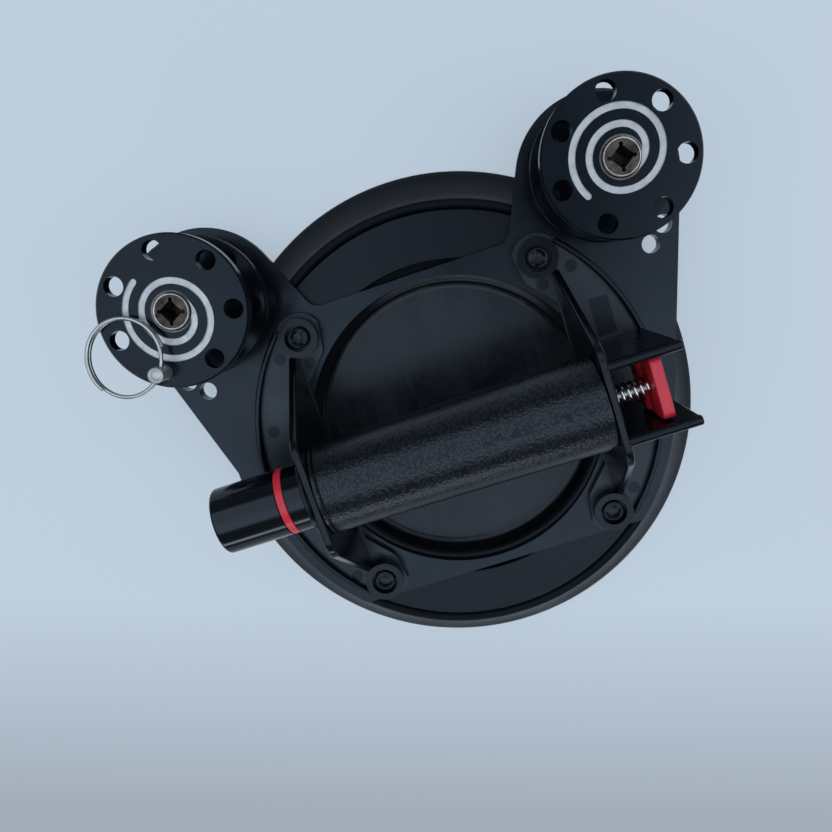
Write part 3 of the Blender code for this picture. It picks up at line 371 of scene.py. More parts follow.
# %% [markdown]
# ## Black parts
# What tells one black part from another is how strongly it mirrors straight on, how sharp that mirror
# is, and its cast: anodised and painted metal mirror bluer than nylon does. The colours themselves
# are nearly nothing. Plastics would take the usual specular level of 0.5, but the photo's blacks
# are deeper, so each has its own.

# %% One recipe for the black parts
DRIFT = 0.25
SHEEN_DRIFT = 0.06
CLOUDS_PER_METRE = 38.0
COOL_CAST = (0.80, 0.88, 1.0)
BLUE_CAST = (0.72, 0.84, 1.0)


def set_gloss(shader, specular, cast=COOL_CAST):
    """How strongly the surface mirrors straight on, and the cast of what it mirrors."""
    shader.inputs["Specular IOR Level"].default_value = specular
    shader.inputs["Specular Tint"].default_value = (*cast, 1.0)


def black_finish(name, colour, roughness, grain, depth, specular=0.5, cast=COOL_CAST, metallic=0.0):
    """A black surface: colour and roughness drift in soft clouds, and a grain of so many per metre."""
    material, tree, shader, spot = new_finish(name)
    shader.inputs["Metallic"].default_value = metallic
    set_gloss(shader, specular, cast)
    clouds = noise(tree, spot, CLOUDS_PER_METRE, 4.0, 0.6)
    darker = tuple(channel * (1 - DRIFT) for channel in colour)
    lighter = tuple(channel * (1 + DRIFT) for channel in colour)
    paint(tree, shader, spread(tree, clouds, 0.3, 0.7, 0.0, 1.0), darker, lighter)
    rough = spread(tree, clouds, 0.3, 0.7, roughness + SHEEN_DRIFT, roughness - SHEEN_DRIFT)
    tree.links.new(rough, shader.inputs["Roughness"])
    emboss(tree, shader, noise(tree, spot, grain, 3.0, 0.6), depth)
    return material


PLATE_BLACK = black_finish("plate_powder_coat", (0.0030, 0.0042, 0.0065), 0.24, 1900, 0.005 * MM,
                           specular=0.38, cast=BLUE_CAST)
BRACKET_BLACK = black_finish("bracket_nylon", (0.0022, 0.0030, 0.0045), 0.20, 1400, 0.004 * MM,
                             specular=0.30)
BRACKET_FLOOR = black_finish("bracket_floor", (0.0085, 0.0110, 0.0150), 0.36, 2400, 0.010 * MM,
                             specular=0.52)
BRACKET_PRINT = black_finish("ejector_print", (0.0060, 0.0078, 0.0108), 0.30, 2400, 0.004 * MM,
                             specular=0.28)
FLANGE_BLACK = black_finish("flange_anodised", (0.0022, 0.0034, 0.0055), 0.20, 2600, 0.002 * MM,
                            specular=0.28, cast=BLUE_CAST)
PLUNGER_BLACK = black_finish("plunger_gloss", (0.0025, 0.0034, 0.0050), 0.12, 300, 0.002 * MM,
                             specular=0.38)
BUSH_BLACK = black_finish("bush_acetal", (0.0035, 0.0045, 0.0060), 0.28, 900, 0.006 * MM, specular=0.28)
SCREW_BLACK = black_finish("screw_black_oxide", (0.016, 0.019, 0.024), 0.26, 1500, 0.006 * MM,
                           metallic=0.7)
RUBBER_BLACK = black_finish("cup_rubber", (0.0044, 0.0058, 0.0082), 0.36, 700, 0.003 * MM, specular=0.09)
# A darker copy of the cup's rubber: painted shade on the slope under the plate's edge.
SHADED_RECESS_WALL = black_finish("recess_wall_painted_shade", (0.0012, 0.0016, 0.0025), 0.24, 700, 0.004 * MM, specular=0.20)
print("Black finishes made")

# %% [markdown]
# ## Dusty rubber and scratched disc
# The recess under the handle shows bare rubber with a film of dust, in patches, specks and streaks
# that run up the photo. The disc round it is matt and has been rubbed, so thin light scratches run
# across it. Each is a light layer over a black one, and the share of the layer is a sum or a product
# of noises. A noise whose coordinates are stretched in one direction draws streaks and scratches.

# %% Dusty recess floor and scratched disc
def dusty_rubber():
    material, tree, shader, spot = new_finish("recess_dust")
    patches = spread(tree, noise(tree, spot, 30, 4.0, 0.60), 0.36, 0.66, 0.0, 1.0)
    specks = spread(tree, noise(tree, spot, 420, 6.0, 0.7), 0.50, 0.66, 0.0, 0.35)
    drawn_out = mapped(tree, spot, PHOTO_TURN, (170, 22, 60))
    streaks = spread(tree, noise(tree, drawn_out, 1.0, 4.0, 0.6), 0.50, 0.66, 0.0, 0.55)
    film = reckon(tree, "ADD", reckon(tree, "ADD", patches, specks), streaks)
    paint(tree, shader, film, (0.0052, 0.0068, 0.0094), (0.0180, 0.0212, 0.0250))
    tree.links.new(spread(tree, film, 0.0, 1.0, 0.19, 0.27), shader.inputs["Roughness"])
    set_gloss(shader, 0.32)
    emboss(tree, shader, noise(tree, spot, 160, 6.0, 0.7), 0.03 * MM)
    return material


def scratched_disc():
    material, tree, shader, spot = new_finish("disc_anodised")
    drawn_out = mapped(tree, spot, 24, (40, 1400, 40))
    scratches = spread(tree, noise(tree, drawn_out, 1.0, 2.0, 0.5), 0.70, 0.80, 0.0, 1.0)
    worn_places = spread(tree, noise(tree, spot, 30, 2.0), 0.50, 0.66, 0.0, 0.8)
    share = reckon(tree, "MULTIPLY", scratches, worn_places)
    paint(tree, shader, share, (0.0028, 0.0040, 0.0060), (0.020, 0.025, 0.031))
    shader.inputs["Roughness"].default_value = 0.28
    set_gloss(shader, 0.26, (0.76, 0.86, 1.0))
    emboss(tree, shader, noise(tree, spot, 1600, 2.0), 0.008 * MM)
    return material


RECESS_DUST = dusty_rubber()
DISC_BLACK = scratched_disc()
print("Dust and scratches made")

# %% [markdown]
# ## Grained grip
# The handle's sleeve has a pebble grain of low islands about a millimetre across, with fine creases
# between them. Voronoi cells give the islands, and a little noise bends their edges so that they
# don't look like a honeycomb. The creases are painted darker, as painted shade, and mirror less, so
# the same height also sets the colour and the gloss.

# %% Pebble grain
PEBBLES_PER_METRE = 950.0
WANDER = 0.2 * MM


def pebble_grip():
    material, tree, shader, spot = new_finish("grip_vinyl")
    wander = add_node(tree, "ShaderNodeTexNoise", {"Vector": spot, "Scale": 900.0, "Detail": 2.0})
    bend = add_node(tree, "ShaderNodeVectorMath", {0: wander.outputs["Color"], 1: (WANDER,) * 3},
                    operation="MULTIPLY").outputs["Vector"]
    bent = add_node(tree, "ShaderNodeVectorMath", {0: spot, 1: bend}, operation="ADD").outputs["Vector"]
    cells = add_node(tree, "ShaderNodeTexVoronoi", {"Vector": bent, "Scale": PEBBLES_PER_METRE},
                     feature="F1")
    height = spread(tree, cells.outputs["Distance"], 0.05, 0.75, 1.0, 0.0)
    emboss(tree, shader, height, 0.07 * MM)
    # The creases take the darker colour: painted shade.
    share = spread(tree, height, 0.1, 0.9, 0.0, 1.0)
    paint(tree, shader, share, (0.0014, 0.0019, 0.0026), (0.0030, 0.0041, 0.0058))
    shader.inputs["Roughness"].default_value = 0.30
    set_gloss(shader, 0.46)
    tree.links.new(spread(tree, height, 0.1, 0.6, 0.36, 0.56), shader.inputs["Specular IOR Level"])
    return material


GRIP_GRAIN_AND_CREASE_SHADE = pebble_grip()
print("Grip grain made")

# %% [markdown]
# ## Metals
# The two small springs are plated and mirror the pale room, and the split ring is a duller steel.
# The reel shafts are plain steel with brown stains, and the walls of their sockets are painted dark
# as painted shade inside the socket. The grooves in the reels are bare aluminium. One recipe serves
# for all: staining, which for the sockets is painted shade, spreads in clouds over the metal's own
# colour, and the roughness drifts with it.

# %% Metals
METAL_GRAIN = 1200


def metal_finish(name, colour, roughness, stain_and_shade=None, stain_and_shade_share=0.0, depth=0.006 * MM):
    material, tree, shader, spot = new_finish(name)
    shader.inputs["Metallic"].default_value = 1.0
    clouds = noise(tree, spot, 260, 5.0, 0.65)
    paint(tree, shader, spread(tree, clouds, 0.42, 0.68, 0.0, stain_and_shade_share), colour, stain_and_shade or colour)
    rough = spread(tree, clouds, 0.3, 0.7, roughness - 0.04, roughness + 0.08)
    tree.links.new(rough, shader.inputs["Roughness"])
    emboss(tree, shader, noise(tree, spot, METAL_GRAIN, 2.0), depth)
    return material


CHROME = metal_finish("bright_chrome", (0.78, 0.78, 0.77), 0.16)
SHAFT_STEEL = metal_finish("shaft_steel", (0.80, 0.775, 0.72), 0.40, (0.42, 0.38, 0.32), 0.70,
                           depth=0.008 * MM)
# Painted shade: the socket's walls and floor get this dark, rough steel.
SHADED_SOCKET_STEEL = metal_finish("socket_painted_shade", (0.12, 0.10, 0.085), 0.55, (0.03, 0.024, 0.019), 1.0,
                            depth=0.05 * MM)
BARE_ALUMINIUM = metal_finish("bare_aluminium", (0.52, 0.515, 0.51), 0.46, (0.40, 0.40, 0.40), 0.7)
PIN_STEEL = metal_finish("pin_steel", (0.60, 0.60, 0.60), 0.55, (0.52, 0.52, 0.53), 0.8)
RING_STEEL = metal_finish("ring_steel", (0.46, 0.46, 0.455), 0.22)
PIN_BRASS = metal_finish("pin_brass", (0.68, 0.60, 0.50), 0.28, (0.30, 0.24, 0.18), 0.5)
print("Metals made")

# %% [markdown]
# ## Red plastic
# The lever and the plunger's band are the only colour on the tool. They are smooth moulded plastic,
# so the red only drifts a little and has a faint orange-peel bump.

# %% Red plastic
def red_plastic():
    material, tree, shader, spot = new_finish("signal_red")
    clouds = noise(tree, spot, 120, 4.0, 0.6)
    share = spread(tree, clouds, 0.35, 0.7, 0.0, 1.0)
    paint(tree, shader, share, (0.66, 0.020, 0.036), (0.76, 0.032, 0.052))
    tree.links.new(spread(tree, clouds, 0.3, 0.7, 0.30, 0.42), shader.inputs["Roughness"])
    emboss(tree, shader, noise(tree, spot, 800, 2.0), 0.008 * MM)
    return material


SIGNAL_RED = red_plastic()
print("Red plastic made")

# %% [markdown]
# ## Rubber cup
# The cup is one turned shape: a thin lip that seals on the glass, a steep skirt, and a rounded bead
# that wraps the disc. It could be cut from a cylinder, but a spun profile gives the soft bead and
# the hollow underneath in one go. The recess under the handle gets the dusty finish, and the slope
# round it is painted darker than the rest of the cup, as painted shade under the plate's edge.
# UNDER_LIP and SKIRT hold the corners below and above the lip.

# %% Rubber cup
LIP_RADIUS = 102.0 * MM
BEAD_OUTER = 90.0 * MM
DISC_RADIUS = 85.5 * MM
DISC_BORE = 66.2 * MM
DISC_TOP = 21.0 * MM
CAVITY = 4.5 * MM
CAVITY_RADIUS = 70.2 * MM
FLOOR = 9.5 * MM
RECESS_RADIUS = 55.0 * MM
NIPPLE_BORE = 2.0 * MM
UNDER_LIP = in_mm((95, 0.9), (97, 0))
SKIRT = in_mm((100.0, 3.4), (97.2, 6.6), (94.4, 10.4), (92.0, 14.2))
seat = low("backing_disc").z - TOUCH
ledge_end = DISC_BORE - 2 * MM
bead_inner = DISC_RADIUS + TOUCH
bead_radius = (BEAD_OUTER - bead_inner) / 2
bead_middle = bead_inner + bead_radius
cup = draw((0, CAVITY), [
    (CAVITY_RADIUS, CAVITY), (BEAD_OUTER, 3.15 * MM), *UNDER_LIP, (LIP_RADIUS - 0.8 * MM, 0),
    (LIP_RADIUS, 0.7 * MM), (LIP_RADIUS - 0.3 * MM, 1.8 * MM), *SKIRT,
    (BEAD_OUTER, DISC_TOP - 1.4 * MM - bead_radius), (BEAD_OUTER, DISC_TOP - bead_radius),
    (bead_middle, DISC_TOP - bead_radius, 180),
    (bead_inner, seat), (ledge_end, seat), (DISC_BORE - 5.2 * MM, seat - 0.9 * MM),
    (58.0 * MM, FLOOR + 1.6 * MM), (56.4 * MM, FLOOR + 0.45 * MM), (RECESS_RADIUS - 1 * MM, FLOOR),
    (0, FLOOR)])
turn(cup, 192)
# The slope round the recess takes the darker rubber as painted shade.
for face in cup.faces:
    middle = face.calc_center_median()
    radius = math.hypot(middle.x, middle.y)
    if radius < ledge_end and middle.z > CAVITY + MM:
        face.material_index = 1 if radius < RECESS_RADIUS + 2 * MM else 2
nipple = centre_of("air_nipple")
cup = cut(cup, post(NIPPLE_BORE, -MM, DISC_TOP, nipple.xy, 24))
hand_over(cup, "rubber_cup", [RUBBER_BLACK, RECESS_DUST, SHADED_RECESS_WALL], smooth=50)

# %% [markdown]
# ## Backing disc
# A flat ring is pressed into the cup. It is turned, drilled for the bracket screws and the air
# nipple, and its edges are broken with a tiny chamfer.

# %% Backing disc
SCREW_SPOTS = [(sx * 49.4 * MM, sy * 53.5 * MM) for sx in (-1, 1) for sy in (-1, 1)]
SCREW_HOLE = 2.8 * MM
NIPPLE_HOLE = 4.3 * MM
DISC_EDGE = 0.35 * MM
disc_bottom = low("backing_disc").z
disc = ring_blank(DISC_BORE, DISC_RADIUS, disc_bottom, DISC_TOP, DISC_EDGE, DISC_EDGE, steps=192)
drills = [post(SCREW_HOLE, disc_bottom - MM, DISC_TOP + MM, spot, 24) for spot in SCREW_SPOTS]
drills.append(post(NIPPLE_HOLE, disc_bottom - MM, DISC_TOP + MM, nipple.xy, 24))
hand_over(cut(disc, *drills), "backing_disc", [DISC_BLACK])

# %% [markdown]
# ## Mounting plate
# The plate is laser cut: a round middle with two ears, and straight runs between them. Its outline is
# drawn once for the right half, mirrored, and raised. The straight sides are the tangents of the
# circles that they join, so they are worked out from the circles. Short sleeves hang under the two
# small holes of each ear. They are joined to the plate before the drills go through both.

# %% Mounting plate
PLATE_RADIUS = 88.2 * MM
OPENING = 60.0 * MM
EAR = Vector((81.2 * MM, 76.2 * MM))
EAR_RADIUS = 31.6 * MM
ROOT = Vector((41.0 * MM, 62.8 * MM))
ROOT_FILLET = 6.0 * MM
FRONT_EDGE = 63.6 * MM
REEL = Vector((80.5 * MM, 77.4 * MM))
REEL_HOLE = 10.8 * MM
EAR_DRILLS = in_mm((93.7, 44.4), (100.2, 50.5))
EAR_HOLE = 3.6 * MM
SLEEVE_RADIUS = 4.9 * MM
SLEEVE_DROP = 3.2 * MM
SEAM = 0.01 * MM
away = EAR - ROOT
inner_angle = math.atan2(away.y, away.x) + math.asin(EAR_RADIUS / away.length) + math.pi / 2
inner_touch = EAR + EAR_RADIUS * Vector((math.cos(inner_angle), math.sin(inner_angle)))
outer_angle = math.atan2(EAR.y, EAR.x) - math.acos((PLATE_RADIUS - EAR_RADIUS) / EAR.length)
outer_touch = PLATE_RADIUS * Vector((math.cos(outer_angle), math.sin(outer_angle)))
front_angle = -math.asin(FRONT_EDGE / PLATE_RADIUS)
rise = (inner_touch - ROOT).normalized()
bend = math.acos(rise.x)
fillet_run = ROOT_FILLET * math.tan(bend / 2)
plate = draw((0, ROOT.y), [
    (ROOT.x - fillet_run, ROOT.y), (ROOT.x - fillet_run, ROOT.y + ROOT_FILLET, math.degrees(bend)),
    tuple(inner_touch), (EAR.x, EAR.y, math.degrees(outer_angle - inner_angle)),
    tuple(outer_touch), (0, 0, math.degrees(front_angle - outer_angle)), (0, -FRONT_EDGE)],
    plane="flat", steps=40)
bmesh.ops.mirror(plate, geom=plate.verts[:] + plate.edges[:], axis="X", merge_dist=SEAM)
bmesh.ops.remove_doubles(plate, verts=plate.verts, dist=SEAM)
plate_bottom, plate_top = low("mounting_plate").z, high("mounting_plate").z
raise_up(plate, plate_bottom, plate_top)
reach = (plate_bottom - 5 * MM, plate_top + MM)
drills = [post(OPENING, *reach, steps=128)]
drills += [post(SCREW_HOLE, *reach, spot, 24) for spot in SCREW_SPOTS]
ear_spots = [(side * x, y) for side in (-1, 1) for x, y in EAR_DRILLS]
drills += [post(EAR_HOLE, *reach, spot, 40) for spot in ear_spots]
drills += [post(REEL_HOLE, *reach, (side * REEL.x, REEL.y), 48) for side in (-1, 1)]
drills.append(post(NIPPLE_HOLE, *reach, nipple.xy, 24))
sleeves = [post(SLEEVE_RADIUS, plate_bottom - SLEEVE_DROP, plate_bottom + MM, spot)
           for spot in ear_spots]
plate = join(plate, *sleeves)
plate = soften(cut(plate, *drills), 0.25 * MM, 2)
hand_over(plate, "mounting_plate", [PLATE_BLACK])

# %% [markdown]
# ## Handle brackets
# Both brackets are moulded nylon: a curved foot with a raised lip along its outer edge, two screw
# bosses, and an upright web that holds the pump's end. They could be modelled as one block and cut
# away, but joining simple solids follows how the mould is laid out. The web's outline is drawn flat,
# its top corners are rounded, and it is then turned upright. Joined solids start a little inside the
# foot, so that no two faces lie in one plane. The mould's ejector pins leave shallow round prints in
# the foot's floor. The floor is duller than the rest and the prints lie between the two, so the faces
# at those two heights get finishes of their own.

# %% Helpers for flat outlines that stand upright
UPRIGHT = Matrix(((0, 0, 1), (1, 0, 0), (0, 1, 0)))


def stand_up(solid):
    """Turns a drawing so that its (across, up) become Y and Z, and its thickness runs along X."""
    bmesh.ops.rotate(solid, verts=solid.verts, cent=CENTRE, matrix=UPRIGHT)
    return solid


def round_corners(drawing, spots, width, steps=8):
    """Rounds the drawing's corners nearest to the given spots; width is taken off each side."""
    corners = [min(drawing.verts, key=lambda vert: (vert.co.xy - Vector(spot)).length)
               for spot in spots]
    bmesh.ops.bevel(drawing, geom=corners, affect="VERTICES", offset=width, offset_type="OFFSET",
                    segments=steps, profile=0.5, material=-1, clamp_overlap=True)
    return drawing


def polar(radius, degrees, middle=(0, 0)):
    angle = math.radians(degrees)
    return middle[0] + radius * math.cos(angle), middle[1] + radius * math.sin(angle)


print("Upright drawings ready")

# %% Bracket foot, lip and bosses
BRACKET_RADIUS = 83.0 * MM
LIP_WIDTH = 2.4 * MM
BOSS = SCREW_SPOTS[3]
BOSS_RADIUS = 7.9 * MM
PAD_RADIUS = 9.6 * MM
TOE_CORNER = (BOSS[0] - 7.0 * MM, BOSS[1] - 8.0 * MM)
TOE_TIP = (52.3 * MM, 34.6 * MM)
bracket_bottom = low("right_bracket").z
floor_top = bracket_bottom + 2.7 * MM
lip_top = bracket_bottom + 5.4 * MM
boss_top = bracket_bottom + 8.4 * MM


def bracket_foot():
    """The foot with its lip and two bosses, for the right side."""
    start = polar(PAD_RADIUS, 35, BOSS)
    corner = polar(BRACKET_RADIUS, -46)
    under = (BOSS[0], -BOSS[1])
    foot = draw(corner, [
        (0, 0, 92), start, (BOSS[0], BOSS[1], 123), TOE_CORNER, TOE_TIP,
        (TOE_TIP[0], -TOE_TIP[1]), (TOE_CORNER[0], -TOE_CORNER[1]), polar(PAD_RADIUS, -158, under),
        (under[0], under[1], 123)], plane="flat", closed=True, steps=32)
    round_corners(foot, [TOE_CORNER, (TOE_CORNER[0], -TOE_CORNER[1])], 1.6 * MM, 5)
    raise_up(foot, bracket_bottom, floor_top)
    lip = draw(polar(BRACKET_RADIUS - 0.05 * MM, -45.5), [
        (0, 0, 91), polar(BRACKET_RADIUS - LIP_WIDTH, 45.5), (0, 0, -91)],
        plane="flat", closed=True, steps=64)
    soften(raise_up(lip, bracket_bottom + 0.5 * MM, lip_top), 0.9 * MM, 4, 60)
    bosses = [post(BOSS_RADIUS, bracket_bottom + 0.7 * MM, boss_top, (BOSS[0], side * BOSS[1]))
              for side in (-1, 1)]
    return join(foot, lip, *bosses)


print("Foot stands %.1f to %.1f mm above the glass" % (bracket_bottom / MM, floor_top / MM))

# %% Web and guards
WEB_OUTER = 55.8 * MM
WEB_INNER = 52.8 * MM
WEB_TOP = 81.5 * MM
WEB_TOP_HALF = 20.5 * MM
WEB_FOOT_HALF = 47.0 * MM
GUARD_Y = 13.4 * MM
GUARD_TOP = 80.0 * MM
GUARD_REACH = 81.0 * MM
GUARD_BEAD = 1.8 * MM
GUARD_HALF = 1.2 * MM
WEB_ROUND = 4.8 * MM


def web():
    """The upright web; its edge is moulded with a large radius that catches the light."""
    base = bracket_bottom + 0.3 * MM
    step = bracket_bottom + 8.0 * MM
    outline = draw((-WEB_FOOT_HALF, base), [
        (WEB_FOOT_HALF, base), (WEB_FOOT_HALF, step), (WEB_TOP_HALF, WEB_TOP),
        (-WEB_TOP_HALF, WEB_TOP), (-WEB_FOOT_HALF, step)], plane="flat", closed=True)
    round_corners(outline, [(WEB_TOP_HALF, WEB_TOP), (-WEB_TOP_HALF, WEB_TOP)], WEB_ROUND, 12)
    return soften(stand_up(raise_up(outline, WEB_INNER, WEB_OUTER)), 0.9 * MM, 5, 60)


def guard(side):
    """A thin fin beside the lever, with a round bead along its top and a rounded nose."""
    y = side * GUARD_Y
    base = bracket_bottom + 0.9 * MM
    fin = draw((y - GUARD_HALF, base), [
        (y + GUARD_HALF, base), polar(GUARD_BEAD, -42, (y, GUARD_TOP)), (y, GUARD_TOP, 264)],
        plane="flat", closed=True, steps=20)
    return soften(stand_up(raise_up(fin, WEB_OUTER - MM, GUARD_REACH)), 0.7 * MM, 4, 60)


print("Web is %.1f mm thick and %.1f mm high" % ((WEB_OUTER - WEB_INNER) / MM, WEB_TOP / MM))

# %% Bores, pockets and ejector prints
GRIP_Z = 67.0 * MM
LEVER_PIVOT = Vector((71.45 * MM, 0, 58.0 * MM))
LEVER_PIN_HOLE = 1.6 * MM
BARREL_BORE = 14.2 * MM
PLUG_BORE = 8.3 * MM
HEAD_HEIGHT = 5.0 * MM
HEAD_POCKET = 5.3 * MM
HEAD_SEAT = boss_top - HEAD_HEIGHT
PRINT_RADIUS = 2.5 * MM
PRINT_DEPTH = 0.12 * MM
PRINTS = {"left": in_mm((-60.1, 47.7), (-73.0, 20.3), (-49.0, 42.4), (-60.7, -49.5), (-49.3, -44.5),
                        (-74.0, -20.0)),
          "right": in_mm((61.2, 46.5), (48.6, 42.9), (60.5, -47.7), (74.5, -19.5))}


def screw_pocket(spot):
    """The stepped hole that a screw and its head sit in."""
    drill = turn(draw((0, 0), [
        (SCREW_HOLE, 0), (SCREW_HOLE, HEAD_SEAT), (HEAD_POCKET, HEAD_SEAT),
        (HEAD_POCKET, boss_top + MM), (0, boss_top + MM)]), 48)
    return shift(drill, (spot[0], spot[1], 0))


def on_pivot(solid):
    """Lays a piece that was made round Z along the lever's axis."""
    return shift(swing(solid, 90, "X"), LEVER_PIVOT)


def oblong_print():
    """The one print that isn't round: an oblong in the right bracket's floor."""
    block = bmesh.new()
    place = Matrix.Translation((67.7 * MM, 23.9 * MM, floor_top))
    bmesh.ops.create_cube(block, size=MM, matrix=place @ Matrix.Diagonal((7.7, 15.4, 0.3, 1)))
    return block


print("Ejector prints:", {side: len(spots) for side, spots in PRINTS.items()})

# %% Make both brackets
def bracket(side):
    right = side == "right"
    body = join(bracket_foot(), web(), *([guard(-1), guard(1)] if right else []))
    cuts = [screw_pocket((BOSS[0], sign * BOSS[1])) for sign in (-1, 1)]
    bore = PLUG_BORE if right else BARREL_BORE
    cuts.append(along_grip(post(bore, WEB_INNER - MM, WEB_OUTER + MM, steps=64), GRIP_Z))
    if right:
        cuts.append(on_pivot(post(LEVER_PIN_HOLE, -40 * MM, 40 * MM, steps=24)))
        cuts.append(post(NIPPLE_HOLE, bracket_bottom - MM, floor_top - MM, nipple.xy, 24))
    body = soften(cut(body, *cuts), 0.35 * MM, 3, 40)
    if not right:
        body = swing(body, 180)
    prints = [post(PRINT_RADIUS, floor_top - PRINT_DEPTH, floor_top + MM, spot, 32)
              for spot in PRINTS[side]]
    body = cut(body, *prints, *([oblong_print()] if right else []))
    for part in body.faces:
        sunk = floor_top - part.calc_center_median().z
        if part.normal.z > 0.95 and abs(sunk) < 0.03 * MM:
            part.material_index = 1
        elif part.normal.z > 0.95 and abs(sunk - PRINT_DEPTH) < 0.04 * MM:
            part.material_index = 2
    hand_over(body, side + "_bracket", [BRACKET_BLACK, BRACKET_FLOOR, BRACKET_PRINT])


bracket("left")
bracket("right")

# %% [markdown]
# ## Bracket screws
# Four socket-head screws hold the brackets. The head is turned with a rounded edge, and its hexagon
# socket is cut by a six-sided post with a drill point under it, as a real broached socket has.

# %% Bracket screws
HEAD_RADIUS = 4.3 * MM
HEAD_ROUND = 1.0 * MM
SHANK_RADIUS = 2.5 * MM
SHANK_TIP = 2.1 * MM
SOCKET_FLATS = 4.0 * MM
SOCKET_DEPTH = 2.8 * MM


def socket_screw(node, turned):
    """A socket-head screw in the length of its CAD piece, with its hexagon turned by an angle."""
    bottom, top = low(node).z, high(node).z
    head = top - HEAD_HEIGHT
    screw = turn(draw((0, bottom), [
        (SHANK_TIP, bottom), (SHANK_RADIUS, bottom + 0.4 * MM), (SHANK_RADIUS, head),
        (HEAD_RADIUS - 0.15 * MM, head), (HEAD_RADIUS, head + 0.15 * MM),
        (HEAD_RADIUS, top - HEAD_ROUND), (HEAD_RADIUS - HEAD_ROUND, top - HEAD_ROUND, -90),
        (0, top)]), 48)
    hexagon = post(SOCKET_FLATS / math.sqrt(3), top - SOCKET_DEPTH, top + MM, steps=6)
    point_top = top - 2.7 * MM
    point = turn(draw((0, top - 4.0 * MM), [(1.9 * MM, point_top), (0, point_top)]), 24)
    return soften(cut(screw, swing(hexagon, turned), point), 0.12 * MM, 2, 40)


for number in range(1, len(SCREW_SPOTS) + 1):
    node = "bracket_screw_%d" % number
    hand_over(over_node(socket_screw(node, 17 * number), node), node, [SCREW_BLACK])

# %% [markdown]
# ## Pump handle
# The handle is the pump itself: an aluminium barrel in a grained vinyl sleeve, with a black bush at
# the left end and a polished plunger that slides in it. All of them are turned, then laid along X.
# The sleeve is rolled in at both ends, which leaves a narrow smooth collar beside each web.

# %% Grip sleeve
GRIP_RADIUS = 17.4 * MM
SLEEVE_BORE = 16.5 * MM
SMOOTH_COLLAR = 2.0 * MM
COLLAR_STEP = 0.45 * MM
COLLAR_ROUND = 0.4 * MM
GRIP_ROUND = 0.5 * MM
collar_radius = GRIP_RADIUS - COLLAR_STEP
end = high("grip_sleeve").x
grain_end = end - SMOOTH_COLLAR
sleeve = draw((SLEEVE_BORE, -end), [
    (collar_radius - COLLAR_ROUND, -end), (collar_radius - COLLAR_ROUND, -end + COLLAR_ROUND, -90),
    (collar_radius, -grain_end), (GRIP_RADIUS - GRIP_ROUND, -grain_end),
    (GRIP_RADIUS - GRIP_ROUND, -grain_end + GRIP_ROUND, -90), (GRIP_RADIUS, grain_end - GRIP_ROUND),
    (GRIP_RADIUS - GRIP_ROUND, grain_end - GRIP_ROUND, -90), (collar_radius, grain_end),
    (collar_radius, end - COLLAR_ROUND), (collar_radius - COLLAR_ROUND, end - COLLAR_ROUND, -90),
    (SLEEVE_BORE, end)], closed=True, steps=6)
hand_over(along_grip(turn(sleeve, 128), GRIP_Z), "grip_sleeve", [GRIP_GRAIN_AND_CREASE_SHADE])

# %% Bush
BUSH_BORE = 12.65 * MM
BUSH_BODY = 13.9 * MM
BUSH_FLANGE = 15.2 * MM
BUSH_ROUND = 0.5 * MM
BUSH_LEAD = 0.4 * MM
face, inner_end = low("plunger_bush").x, high("plunger_bush").x
flange_back = face + 1.3 * MM
bush = draw((BUSH_BORE, face + BUSH_LEAD), [
    (BUSH_BORE + BUSH_LEAD, face), (BUSH_FLANGE - BUSH_ROUND, face),
    (BUSH_FLANGE - BUSH_ROUND, face + BUSH_ROUND, 90), (BUSH_FLANGE, flange_back),
    (BUSH_BODY, flange_back), (BUSH_BODY, inner_end), (BUSH_BORE, inner_end)], closed=True, steps=6)
hand_over(along_grip(turn(bush, 96), GRIP_Z), "plunger_bush", [BUSH_BLACK])

# %% Plunger and red band
PLUNGER_RADIUS = 12.3 * MM
PLUNGER_BORE = 8.0 * MM
PLUNGER_WALL = 6.0 * MM
TIP_ROUND = 1.3 * MM
BAND_DEPTH = 0.7 * MM
BAND_EDGE = 0.2 * MM
tip, plunger_end = low("plunger").x, high("plunger").x
band_start, band_end = low("red_band").x, high("red_band").x
groove = PLUNGER_RADIUS - BAND_DEPTH - TOUCH
plunger = draw((0, tip), [
    (PLUNGER_RADIUS - TIP_ROUND, tip), (PLUNGER_RADIUS - TIP_ROUND, tip + TIP_ROUND, 90),
    (PLUNGER_RADIUS, band_start - TOUCH), (groove, band_start - TOUCH), (groove, band_end + TOUCH),
    (PLUNGER_RADIUS, band_end + TOUCH), (PLUNGER_RADIUS, plunger_end), (PLUNGER_BORE, plunger_end),
    (PLUNGER_BORE, tip + PLUNGER_WALL), (0, tip + PLUNGER_WALL)], steps=8)
hand_over(along_grip(turn(plunger, 96), GRIP_Z), "plunger", [PLUNGER_BLACK])

band = draw((PLUNGER_RADIUS - BAND_DEPTH, band_start), [
    (PLUNGER_RADIUS - BAND_EDGE, band_start), (PLUNGER_RADIUS, band_start + BAND_EDGE),
    (PLUNGER_RADIUS, band_end - BAND_EDGE), (PLUNGER_RADIUS - BAND_EDGE, band_end),
    (PLUNGER_RADIUS - BAND_DEPTH, band_end)], closed=True)
hand_over(along_grip(turn(band, 96), GRIP_Z), "red_band", [SIGNAL_RED])
